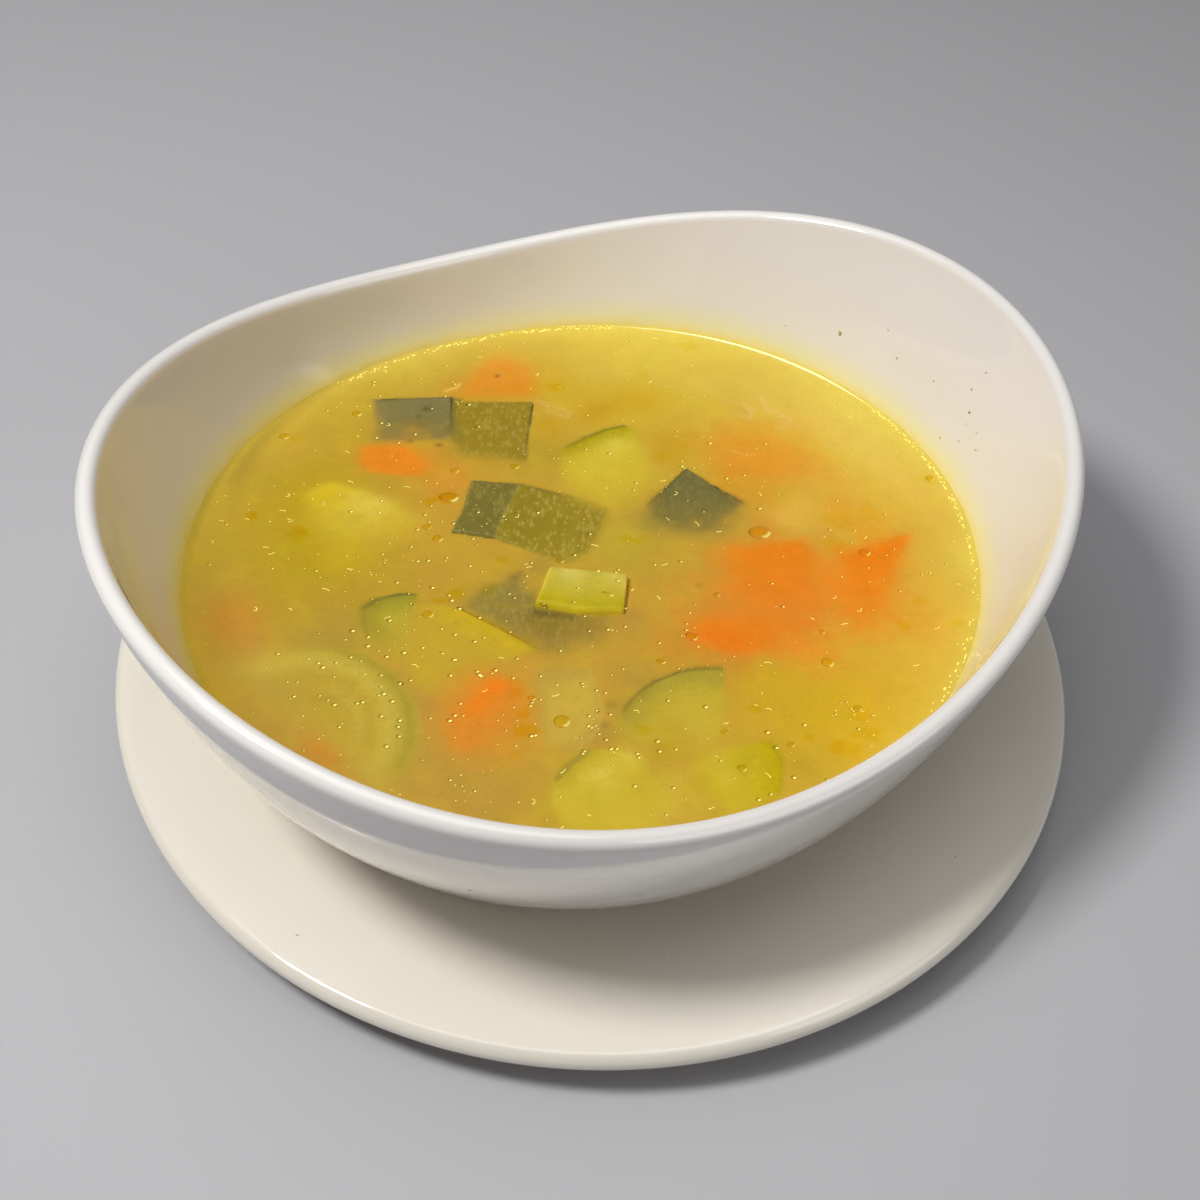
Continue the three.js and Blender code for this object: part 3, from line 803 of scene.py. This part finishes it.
crumbs = [
    (-30.7, 66.2, 0.7, (120, 84, 40), 0.85), (-43.3, 36.6, 0.9, (124, 92, 44), 0.8),
    (-50.9, 37.5, 0.8, (120, 92, 40), 0.7), (-19.9, -9.8, 1.4, (134, 106, 56), 0.8),
    (-18.8, -8, 1.0, (140, 112, 60), 0.6), (3.6, -53.8, 1.0, (142, 116, 52), 0.6),
    (5, -47.8, 1.6, (150, 124, 52), 0.5), (24.6, -8.6, 0.8, (176, 120, 44), 0.6),
]


def waterline():  # turns, and the inner wall's distance from the bowl's axis at the broth's level
    wall = BVHTree.FromObject(bowl, bpy.context.evaluated_depsgraph_get())
    start = Vector((*bowlAxis, brothLevel)) * mm
    turns = np.linspace(-math.pi, math.pi, 721)
    ways = [Vector((math.cos(turn), math.sin(turn), 0)) for turn in turns]
    return turns, np.array([wall.ray_cast(start, way)[3] / mm for way in ways])


def soften(values, reach):  # Gaussian blur over the first two axes, reach in cells
    half = max(1, int(3 * reach))
    kernel = np.exp(-0.5 * (np.arange(-half, half + 1) / reach) ** 2)
    kernel /= kernel.sum()
    for axis in (0, 1):
        widths = [(half, half) if a == axis else (0, 0) for a in range(values.ndim)]
        padded = np.pad(values, widths, mode="edge")
        total = np.zeros_like(values)
        for i, weight in enumerate(kernel):
            cut = [slice(None)] * values.ndim
            cut[axis] = slice(i, i + values.shape[axis])
            total += weight * padded[tuple(cut)]
        values = total
    return values


def topDepths(mesh, x, y):  # depth of a piece's upper face below the broth's level, nan beside it
    source = bmesh.new()
    source.from_mesh(mesh)
    tree = BVHTree.FromBMesh(source)
    source.free()
    hits = [tree.ray_cast(Vector((px, py, rayStart)) * mm, down)[0] for px, py in zip(x, y)]
    return np.array([brothLevel - hit.z / mm if hit else np.nan for hit in hits])


def patchRows(hues):  # broad patches first, so that small ones lie over them
    rows = [(px, py, reach, hue, share) for hue, patches in hues.values() for px, py, reach, share in patches]
    return sorted(rows, key=lambda row: -row[2])


def brothColours(x, y):  # the broth's own colours, before the pieces under it are laid in
    colour = np.tile(linear(broth["middle"]), (*x.shape, 1))
    colour = withSpots(colour, x, y, patchRows(brothHues))
    hue = unevenness(x, y, 11, 5) + 0.5 * unevenness(x, y, 4, 6)
    colour = mixed(colour, linear(broth["lemon"]), np.clip(hue, 0, 1.6) * broth["hueShare"])
    colour = mixed(colour, linear(broth["amber"]), np.clip(-hue, 0, 1.6) * broth["hueShare"])
    ragged = 1 + 0.3 * np.clip(unevenness(x, y, 5, 7), -1, 1)
    for px, py, reach, glow, share in patchRows(carrotGlow):
        near = np.exp(-((x - px) ** 2 + (y - py) ** 2) * ragged / reach ** 2)
        colour = mixed(colour, linear(glow), near * share)
    return colour


def withOil(colour, x, y):
    ragged = 1 + 0.25 * np.clip(unevenness(x, y, 3.2, 8), -1.4, 1.4)
    for px, py, reach, share in goldenOilPatches:
        away = np.hypot(x - px, 1.2 * (y - py)) * ragged
        near = 1 - ramp(away, 0.45 * reach, 1.1 * reach)
        colour = mixed(colour, colour * goldenFilter, near * min(1.6 * share, 1))
    return colour


def layIn(piece, look, gx, gy, cell, colour, flecks, proud, covered):  # one piece seen through the broth
    spots = places(piece.data) / mm
    low, high = spots.min(0) - 0.5, spots.max(0) + 0.5
    within = (gx > low[0]) & (gx < high[0]) & (gy > low[1]) & (gy < high[1])
    margin = int(broth["margin"] / cell)
    window = tuple(slice(max(found.min() - margin, 0), found.max() + margin) for found in np.where(within))
    wx, wy, inside = gx[window], gy[window], within[window]
    depths = np.full(wx.shape, np.nan)
    depths[inside] = topDepths(piece.data, wx[inside], wy[inside])
    cover = np.isfinite(depths).astype(float)
    deep = np.where(cover > 0, depths, 0)
    nearReach = broth["nearReach"] / cell
    nearDepth = soften(cover * deep, nearReach) / np.maximum(soften(cover, nearReach), 1e-3)
    steps = broth["blurs"]
    haze = look.get("haze", steps[0]) + broth["blurPerDepth"] * look.get("spread", 1) * nearDepth
    position = np.interp(np.clip(haze, steps[0], steps[-1]), steps, range(len(steps)))
    face = cover[..., None] * paint(look, wx, wy)
    stack = np.concatenate([cover[..., None], face, (cover * np.maximum(deep, 0))[..., None]], 2)
    chosen = np.zeros_like(stack)
    for i, step in enumerate(steps):
        chosen += soften(stack, step / cell) * np.clip(1 - np.abs(position - i), 0, 1)[..., None]
    share = chosen[..., 0]
    face = chosen[..., 1:4] / np.maximum(share, 1e-4)[..., None]
    under = np.maximum(chosen[..., 4] / np.maximum(share, 1e-4), 0)
    milk = 1 - broth["milk"] * np.clip(unevenness(wx, wy, 5, 9), 0, 1.5) * ramp(under, 0, 0.8)
    seen = share * milk * np.exp(-under / (broth["clearness"] * look.get("clear", 1)))
    line = broth["line"] * soften(cover, broth["lineBlur"] / cell)
    line *= np.exp(-np.maximum(nearDepth, 0) / broth["lineClearness"])
    colour[window] = withEdge(mixed(colour[window], face, seen), look, wx, wy, line)
    flecks[window] = flecks[window] * (1 - seen) + seen * fleckShares(look, wx, wy)
    proud[window] = np.maximum(proud[window], (cover > 0) & (deep < broth["proudDepth"]))
    covered[window] = np.maximum(covered[window], (cover > 0) & (deep < broth["coveredDepth"]))


# A square grid's points on a disc, as shares of its reach and turns, and their order in rows
def bentGrid(mesh):
    u, v = places(mesh)[:, :2].T
    safeU, safeV = (np.where(np.abs(value) < 1e-9, 1e-9, value) for value in (u, v))
    sideways = math.pi / 4 * v / safeU + np.where(u < 0, math.pi, 0)
    lengthways = math.pi / 2 - math.pi / 4 * u / safeV + np.where(v < 0, math.pi, 0)
    turn = np.where(np.abs(u) > np.abs(v), sideways, lengthways)
    return np.maximum(np.abs(u), np.abs(v)), (turn + math.pi) % (2 * math.pi) - math.pi, np.lexsort((u, v))


def edgeTinted(colour, turn, wallAway):  # the broth's rim along the wall
    back = 0.5 + 0.5 * np.cos(turn - broth["backTurn"])
    edgeTint = mixed(linear(broth["edgeLeft"]), linear(broth["edgeBack"]), back)
    near = broth["edgeShare"] * np.exp(-np.maximum(wallAway, 0) / broth["edgeReach"])
    colour = mixed(colour, edgeTint, near)
    # the left edge lies in the rim's shade, so its colour is painted lighter there, a painted light against
    # that shade
    degrees = np.degrees(turn) % 360
    begins, full, wanes, ends = broth["leftTurns"]
    left = ramp(degrees, begins, full) * (1 - ramp(degrees, wanes, ends))
    reach = broth["leftReach"] * (0.22 + 0.78 * ramp(degrees, *broth["leftWidens"]))
    left *= broth["leftPaintedLight"] * np.exp(-((np.maximum(wallAway, 0) / reach) ** 1.5))
    return lifted(colour, 1 + left)


def filledBody(mesh):  # carried down inside the bowl to the CAD solid's own outline
    cut = nodeCopy("broth")
    solid = BVHTree.FromBMesh(cut)
    cut.free()
    work = bmesh.new()
    work.from_mesh(mesh)
    tints = work.verts.layers.float_color["tint"]
    ring = [edge for edge in work.edges if edge.is_boundary]
    deepColour = opaque(broth["middle"])
    for height in broth["bodyHeights"]:
        grown = bmesh.ops.extrude_edge_only(work, edges=ring)["geom"]
        ring = [part for part in grown if isinstance(part, bmesh.types.BMEdge)]
        for vert in [part for part in grown if isinstance(part, bmesh.types.BMVert)]:
            away = Vector((vert.co.x - bowlAxis[0] * mm, vert.co.y - bowlAxis[1] * mm, 0)).normalized()
            start = Vector((*bowlAxis * mm, height * mm)) + away * 0.2
            vert.co = solid.ray_cast(start, -away)[0] or start
            vert[tints] = deepColour
    bmesh.ops.holes_fill(work, edges=ring, sides=0)
    bmesh.ops.recalc_face_normals(work, faces=work.faces)
    return work


def makeBroth():
    side = broth["cells"] + 1
    work = bmesh.new()
    bmesh.ops.create_grid(work, x_segments=broth["cells"], y_segments=broth["cells"], size=1)
    mesh = bpy.data.meshes.new("broth_surface")
    work.to_mesh(mesh)
    work.free()
    share, turn, order = bentGrid(mesh)
    reach = np.interp(turn, *wallLine) + broth["intoWall"]
    x = bowlAxis[0] + share * reach * np.cos(turn)
    y = bowlAxis[1] + share * reach * np.sin(turn)
    wallAway = (1 - share) * reach - broth["intoWall"]
    gx, gy = x[order].reshape(side, side), y[order].reshape(side, side)
    cell = float(np.median(np.hypot(np.diff(gx, axis=1), np.diff(gy, axis=1))))

    colour = brothColours(gx, gy)
    flecks, proud, covered = (np.zeros((side, side)) for _ in range(3))
    layers = [(look["depth"], name, look) for name, look in sunken.items()]
    layers += [(0.0, name + "_cut", look) for name, look in vegetables.items()]
    for _, name, look in sorted(layers, key=lambda layer: -layer[0]):
        layIn(bpy.data.objects[name], look, gx, gy, cell, colour, flecks, proud, covered)
    colour = withOil(colour, gx, gy)
    colour = withStrokes(colour, gx, gy, threadsAndShade)
    colour = withSpots(colour, gx, gy, crumbs)

    def inMeshOrder(values):
        ordered = np.empty((side * side, *values.shape[2:]))
        ordered[order] = values.reshape(ordered.shape)
        return ordered

    climb = broth["climb"] * np.exp(-np.maximum(wallAway, -1) / broth["climbReach"])
    climb *= 1 + broth["climbUneven"] * np.clip(unevenness(x, y, 4, 12), -1.5, 1.5)
    rise = soften(proud, 0.55 / cell) * (1 - covered)
    z = inMeshOrder(broth["pieceClimb"] * rise) + brothLevel + climb
    mesh.vertices.foreach_set("co", (np.stack([x, y, z], 1) * mm).ravel())
    mesh.update()
    setAttribute(mesh, "tint", edgeTinted(inMeshOrder(colour), turn, wallAway))
    setAttribute(mesh, "fleckShare", inMeshOrder(flecks))
    body = filledBody(mesh)
    bpy.data.meshes.remove(mesh)
    return addPiece("broth_filled", body, wet["clearBroth"], "broth", "broth"), colour


def pictureAt(x, y, picture):  # the broth's colour at points, from its bent square grid
    away = np.stack([x, y], -1) - bowlAxis
    turn = np.arctan2(away[:, 1], away[:, 0])
    share = np.hypot(*away.T) / (np.interp(turn, *wallLine) + broth["intoWall"])
    quarter = np.floor((turn + math.pi / 4) / (math.pi / 2)).astype(int) % 4
    along = ((turn + math.pi / 4) % (math.pi / 2) - math.pi / 4) * 4 / math.pi
    u = share * np.choose(quarter, [1, -along, -1, along])
    v = share * np.choose(quarter, [along, 1, -along, -1])
    last = picture.shape[0] - 1
    column, row = (np.clip((value + 1) / 2 * last, 0, last - 1e-6) for value in (u, v))
    c, r = column.astype(int), row.astype(int)
    nearRow, nextRow = (mixed(picture[i, c], picture[i, c + 1], column - c) for i in (r, r + 1))
    return mixed(nearRow, nextRow, row - r)


# A hazy piece takes the broth's picture of itself, under its own skin line, and its normals are turned towards
# the vertical so that it is shaded as level as the broth
def layFilm(look, mesh):
    x, y = (places(mesh) / mm)[:, :2].T
    setAttribute(mesh, "tint", withEdge(pictureAt(x, y, brothPicture), look, x, y, broth["filmEdge"]))
    normals = normalsOf(mesh)
    upper = normals[:, 2] > 0
    normals[upper] += broth["filmLevel"] * (np.array([0, 0, 1]) - normals[upper])
    mesh.normals_split_custom_set_from_vertices(normals / np.linalg.norm(normals, axis=1)[:, None])


wallLine = waterline()
brothPiece, brothPicture = makeBroth()
for name, look in vegetables.items():
    if "haze" in look:
        layFilm(look, bpy.data.objects[name + "_cut"].data)
print("broth made", len(brothPiece.data.polygons))


# Oil droplets and painted glints on the surface
droplets = {
    "placed": [  # x, y, radius, stretch
        (-38.6, 17.0, 1.7, 1.5), (-39.8, 2.1, 1.2, 1.1), (-42.9, 6.1, 1.0, 1.3), (-6.0, -53.5, 1.85, 1.02),
        (-66.1, 47.1, 1.2, 1.1), (-38.2, 27.2, 1.0, 1.2), (-23.0, 30.1, 1.0, 1.1), (39.6, 11.1, 2.2, 1.3),
        (65.5, 6.2, 1.3, 1.2), (28.8, -11.3, 0.8, 1.1), (22.9, -25.5, 1.2, 1.4), (15.8, -33.9, 0.8, 1.4),
        (54.5, -31.1, 1.4, 1.1), (60.7, -44.5, 1.0, 1.1), (45.1, -56.2, 0.8, 1.1), (7.7, -10.9, 0.9, 1.4),
        (30.4, -53.6, 0.7, 1.3), (-83.5, 36.3, 1.2, 1.1), (-39.3, -23.5, 1.2, 1.2), (53.6, -21.4, 0.8, 1.0),
        (2.6, -15.4, 0.55, 2.9), (34.1, -63.7, 1.0, 1.1), (-9.4, -3.0, 0.9, 1.2), (92.1, 35.8, 0.9, 1.0),
        (84.3, 35.1, 1.1, 1.0), (-13.2, -47.3, 0.8, 1.2),
    ],
    "loose": 95,
    "looseSizes": (0.34, 0.62),
    "glints": 120,
    "glintSizes": (0.12, 0.22),
    "leastClear": 0.24,   # a smaller drop in a cluster is a glint
    "clusters": [  # x, y, reach, count, least and greatest radius
        (-56, -46, 13, 16, 0.28, 0.5), (-52, -10, 13, 24, 0.2, 0.45), (-42, 12, 9, 11, 0.25, 0.55),
        (2, -52, 7, 10, 0.25, 0.5), (-14, -54, 6, 10, 0.25, 0.5), (61, -47, 6, 20, 0.22, 0.5),
        (-24, -76, 12, 16, 0.2, 0.45), (0, 20, 26, 16, 0.22, 0.42), (30, 30, 16, 12, 0.25, 0.45),
        (-45, -28, 10, 12, 0.25, 0.45), (25, -30, 14, 13, 0.25, 0.5), (75, 0, 16, 16, 0.25, 0.5),
        (-66, -62, 12, 12, 0.22, 0.45),
        (-50, -45, 18, 34, 0.5, 0.85), (-20, -40, 22, 26, 0.5, 0.85), (5, -58, 14, 20, 0.5, 0.8),
        (-45, 0, 24, 22, 0.5, 0.75), (5, -15, 22, 18, 0.5, 0.75), (5, 25, 26, 16, 0.5, 0.8),
        (-55, 45, 20, 10, 0.5, 0.8), (38, -62, 16, 10, 0.5, 0.8),
    ],
    "arcs": 70,           # short bright curved strokes of a few glints each
    "arcSizes": (0.13, 0.19),
    "arcStep": 0.32,
    "waterlineTurns": (-30, 140),
    # a drop's dark side is painted shade, and its bright spot and the glints are painted highlights that also
    # glow by emission
    "dark": (0.32, 0.25, 0.1),   # what a drop's dark side leaves of the colour under it
    "body": (0.94, 0.84, 0.22),  # and what a golden drop leaves of it
    "bright": (255, 243, 130),
    # the whitest colour is the painted reflection of the light along the waterline
    "whitest": (255, 252, 180),  # the light's line along the waterline
    "shine": 0.24,               # how far a glint shines by itself
    "paintedBrightSide": (0.86, -0.5),
    "lot": 40,                   # drops are made in small lots, which is much quicker
}
brightOil, whitestOil = linear(droplets["bright"]), linear(droplets["whitest"])
darkOil, goldenOil = np.array(droplets["dark"]), np.array(droplets["body"])


def wallReach(turn):
    return float(np.interp(turn, *wallLine))


def fromAxis(reach, turn):
    return bowlAxis[0] + reach * math.cos(turn), bowlAxis[1] + reach * math.sin(turn)


def onBroth():  # a random place on the broth
    turn = dice.uniform(-math.pi, math.pi)
    share = math.sqrt(dice.random())
    return fromAxis((wallReach(turn) - 1.5) * share, turn)


def insideBroth(x, y):
    away = np.array([x, y]) - bowlAxis
    return math.hypot(*away) < wallReach(math.atan2(away[1], away[0])) - 1.0


def floatingDrops():
    drops = [(*drop, dice.uniform(-0.5, 0.5), "golden") for drop in droplets["placed"]]
    for _ in range(droplets["loose"]):
        drops.append((*onBroth(), dice.uniform(*droplets["looseSizes"]), dice.uniform(1.0, 1.25), 0, "clear"))
    for _ in range(droplets["glints"]):
        spot, size = onBroth(), dice.uniform(*droplets["glintSizes"])
        drops.append((*spot, size, 1.2, dice.uniform(-0.5, 0.5), "glint"))
    for cx, cy, reach, count, least, most in droplets["clusters"]:
        for _ in range(count):
            x, y = dice.gauss(cx, reach * 0.55), dice.gauss(cy, reach * 0.55)
            size = dice.uniform(least, most)
            if insideBroth(x, y):
                kind = "clear" if size > droplets["leastClear"] else "glint"
                drops.append((x, y, size, dice.uniform(1.0, 1.3), 0, kind))
    for _ in range(droplets["arcs"]):
        x, y = onBroth()
        turn, bend = dice.uniform(-0.6, 0.6), dice.uniform(-0.7, 0.7)
        for _ in range(dice.randint(3, 6)):
            drops.append((x, y, dice.uniform(*droplets["arcSizes"]), 1.5, turn, "glint"))
            x, y = x + droplets["arcStep"] * math.cos(turn), y + droplets["arcStep"] * math.sin(turn)
            turn += bend
    return [drop for drop in drops if insideBroth(*drop[:2])]


# The painted reflection of the light along the waterline, whole at the back right and broken into glints
# beside that
def waterlineDrops():
    drops = []
    turn, last = (math.radians(turn) for turn in droplets["waterlineTurns"])
    while turn < last:
        strength = float(ramp(turn, 0.68, 0.95) * (1 - ramp(turn, 1.12, 1.6)))
        beside = max(0.72 - turn, turn - 1.5, 0)
        if strength > 0.04:
            reach = wallReach(turn) - 0.3
            size, stretch, kind = 0.12 + 0.56 * strength * dice.uniform(0.75, 1.1), 2.4, "line"
            step = dice.uniform(0.6, 0.9)
        else:
            reach = wallReach(turn) - dice.uniform(0.1, 0.9 + beside)
            size, stretch, kind = dice.uniform(0.18, 0.4), dice.uniform(1, 2.4), "glint"
            step = 0.3 + dice.expovariate(1 / (0.25 + 0.7 * beside))
        drops.append((*fromAxis(reach, turn), size, stretch, turn + math.pi / 2, kind))
        turn += step / reach
    return drops


# drops are painted with shade on one side and a painted highlight on the other
def dropColour(kind, local, out, facing):  # out is 0 in a drop's middle and 1 at its rim
    if kind == "line":
        return whitestOil
    if kind == "glint":
        return local + (brightOil - local) * 0.9
    if kind == "clear":
        shade = min(1.5 * max(0.3 - facing, 0), 1) * ramp(out, 0.3, 0.85)
        return mixed(local * 0.94, local * darkOil, shade)
    colour = mixed(local, local * darkOil, 0.5 * ramp(out, 0.7, 1.0) * max(0.3 - facing, 0))
    shine = ramp(out, 0.72, 0.84) * ramp(facing, 0.62, 0.9)
    return colour + (brightOil - colour) * 0.9 * shine


def topSurface():  # the broth with its vegetables, and the colour of each face
    cover = bmesh.new()
    faceTints = []
    for piece in [brothPiece] + [bpy.data.objects[name + "_cut"] for name in vegetables]:
        mesh = piece.data
        cover.from_mesh(mesh)
        tints = np.empty(4 * len(mesh.vertices), dtype=np.float32)
        mesh.attributes["tint"].data.foreach_get("color", tints)
        corners = np.array([polygon.vertices[0] for polygon in mesh.polygons])
        faceTints.append(tints.reshape(-1, 4)[corners, :3])
    surface = BVHTree.FromBMesh(cover)
    cover.free()
    return surface, np.concatenate(faceTints).astype(float)


def addDrop(work, top, x, y, radius, stretch, turn, kind, lift=0.0):
    surface, faceTints = top
    hit, _, face, _ = surface.ray_cast(Vector((x, y, rayStart)) * mm, down)
    if not hit:
        return
    thick = {"golden": 0.2}.get(kind, 0.7) * radius
    shape = Matrix.Translation(hit + Vector((0, 0, lift)) * mm) @ Matrix.Rotation(turn, 4, "Z")
    shape = shape @ Matrix.Diagonal((radius * stretch * mm, radius * mm, thick * mm, 1))
    if kind == "golden":
        local = faceTints[face] * goldenOil
        made = bmesh.ops.create_uvsphere(work, u_segments=24, v_segments=10, radius=1, matrix=shape)["verts"]
    else:
        local = faceTints[face]
        made = bmesh.ops.create_cone(
            work, cap_ends=True, segments=8 if kind == "clear" else 6, radius1=1, radius2=0.55, depth=0.4,
            matrix=shape,
        )["verts"]
    tints, shines = (work.verts.layers.float_color[layer] for layer in ("tint", "shine"))
    for vert in made:
        px, py = (vert.co.x / mm - x) / (radius * stretch), (vert.co.y / mm - y) / radius
        out = math.hypot(px, py)
        facing = np.dot((px, py), droplets["paintedBrightSide"]) / max(out, 1e-6)
        colour = (*dropColour(kind, local, out, facing), 1)
        vert[tints] = colour
        vert[shines] = colour if kind in ("line", "glint") else (0, 0, 0, 1)
    # a clear drop's bright spot is a painted highlight
    if kind == "clear":  # its bright spot lies towards the right front
        addDrop(work, top, x + 0.4 * radius, y - 0.3 * radius, 0.5 * radius, 1.2, 0.6, "glint", 0.3 * radius)


def makeDroplets():
    material, tree, shader = newMaterial("goldenOil", 0.25, 1.4)
    shader.inputs["Specular IOR Level"].default_value = 0.1
    shader.inputs["Emission Strength"].default_value = droplets["shine"]
    tint = addNode(tree, "ShaderNodeAttribute", attribute_name="tint")
    shine = addNode(tree, "ShaderNodeAttribute", attribute_name="shine")
    wire(tree, (tint, "Color", shader, "Base Color"), (shine, "Color", shader, "Emission Color"))
    top = topSurface()
    drops = floatingDrops() + waterlineDrops()
    joined = bmesh.new()
    for start in range(0, len(drops), droplets["lot"]):
        work = bmesh.new()
        for layer in ("tint", "shine"):
            work.verts.layers.float_color.new(layer)
        for drop in drops[start:start + droplets["lot"]]:
            addDrop(work, top, *drop)
        lot = bpy.data.meshes.new("lot")
        work.to_mesh(lot)
        work.free()
        joined.from_mesh(lot)
        bpy.data.meshes.remove(lot)
    return addPiece("oil_droplets", joined, material, "broth")


dropPiece = makeDroplets()
print("droplets made", len(dropPiece.data.polygons))


# Herb flakes on the bowl's wall and on the plate, as x, y, z and length
flakes = {
    "places": [
        (61.6, 78.7, 54.8, 1.5), (76, 66.9, 56.5, 0.95), (95.3, 47.8, 68.3, 1.0), (92.6, 47.6, 62.8, 1.1),
        (92.5, 43.5, 58.7, 1.3), (91.8, 41.9, 56, 0.7), (94, 37.5, 56.9, 1.2), (86.9, 44.7, 48.6, 0.9),
        (90.6, 40, 51.9, 0.9), (94, 34.2, 54, 1.0), (73.2, 72.7, 61.2, 0.7), (47.5, 85.5, 51, 0.7),
        (84.7, 56.7, 57.6, 0.7), (-21.7, -103.3, 47.8, 0.8), (-16.6, -99.4, 38.6, 0.7),
        (-61, -94, 13.2, 0.9), (21.3, -92.4, 10.7, 0.6), (86.9, -62, 12.4, 0.7),
    ],
    "colour": (218, 202, 126),
    "halfLong": 0.5,  # half sizes, the first two as shares of the length
    "halfWide": 0.32,
    "halfThick": 0.1,
    "uneven": 0.12,
}


def makeFlakes():
    material, _, shader = newMaterial("herbFlake", 0.45)
    shader.inputs["Base Color"].default_value = opaque(flakes["colour"])
    graph = bpy.context.evaluated_depsgraph_get()
    walls = [BVHTree.FromObject(piece, graph) for piece in (bowl, plate)]
    joined = bmesh.new()
    for x, y, z, long in flakes["places"]:
        found = [wall.find_nearest(Vector((x, y, z)) * mm) for wall in walls]
        spot, normal, _, _ = min(found, key=lambda nearest: nearest[3])
        shape = Matrix.Translation(spot) @ normal.to_track_quat("Z", "Y").to_matrix().to_4x4()
        halfSizes = (flakes["halfLong"] * long, flakes["halfWide"] * long, flakes["halfThick"])
        shape = shape @ Matrix.Rotation(dice.uniform(0, 3), 4, "Z") @ Matrix.Diagonal(
            (*(half * mm for half in halfSizes), 1))
        reach = flakes["uneven"] * long * mm
        for vert in bmesh.ops.create_icosphere(joined, subdivisions=1, radius=1, matrix=shape)["verts"]:
            vert.co += Vector((dice.uniform(-reach, reach), dice.uniform(-reach, reach), 0))
    return addPiece("herb_flakes", joined, material, "courgette_skin")


makeFlakes()
print("flakes made")


# Floor, light and camera. The floor and the lights are so large and far that they are given in metres
stage = {"colour": (186, 186, 190), "radius": 2.5, "gap": 0.1}


def makeFloor():
    work = bmesh.new()
    bmesh.ops.create_circle(work, cap_ends=True, segments=64, radius=stage["radius"])
    mesh = bpy.data.meshes.new("floor")
    work.to_mesh(mesh)
    work.free()
    material, _, shader = newMaterial("paleFloor", 0.8)
    shader.inputs["Base Color"].default_value = opaque(stage["colour"])
    mesh.materials.append(material)
    floor = bpy.data.objects.new("floor", mesh)
    floor.location.z = -stage["gap"] * mm
    scene.collection.objects.link(floor)


lights = {
    "key": {"from": (-0.47, -0.17, 0.87), "size": 0.22, "watts": 6.45, "colour": (1.0, 0.985, 0.96)},
    "overhead": {"from": (-0.06, 0.02, 1.0), "size": 1.0, "watts": 3.3, "colour": (1.0, 0.99, 0.985)},
    "fill": {"from": (0.8, -0.5, 0.5), "size": 0.7, "watts": 1.55, "colour": (1.0, 0.99, 0.98)},
}
room = {"strength": 0.04, "colour": (1.0, 1.0, 1.0)}


def makeLight(name, spec):
    lamp = bpy.data.lights.new(name, "AREA")
    lamp.shape = "DISK"
    lamp.size = spec["size"]
    lamp.energy = spec["watts"]
    lamp.color = spec["colour"]
    holder = bpy.data.objects.new(name, lamp)
    holder.location = spec["from"]
    holder.rotation_euler = (-Vector(spec["from"])).to_track_quat("-Z", "Y").to_euler()
    scene.collection.objects.link(holder)


def makeRoom(spec):
    world = bpy.data.worlds.new("room")
    world.use_nodes = True
    back = world.node_tree.nodes["Background"]
    back.inputs["Color"].default_value = (*spec["colour"], 1)
    back.inputs["Strength"].default_value = spec["strength"]
    scene.world = world


# the camera's place, tilt and roll were fitted to the plate and the bowl
view = {"place": (0.858, -295.328, 336.227), "pitch": 43.64932, "roll": 3.44467, "lens": 51.0, "sensor": 36.0}


def makeCamera():
    lens = bpy.data.cameras.new("view")
    lens.lens = view["lens"]
    lens.sensor_width = view["sensor"]
    camera = bpy.data.objects.new("view", lens)
    turned = Matrix.Identity(4)
    for angle, axis in ((view["pitch"], "X"), (view["roll"], "Z")):
        turned = turned @ Matrix.Rotation(math.radians(angle), 4, axis)
    camera.matrix_world = Matrix.Translation(Vector(view["place"]) * mm) @ turned
    scene.collection.objects.link(camera)
    scene.camera = camera


makeFloor()
for name, spec in lights.items():
    makeLight(name, spec)
makeRoom(room)
makeCamera()
scene.view_settings.view_transform = "Standard"

print("scene finished")
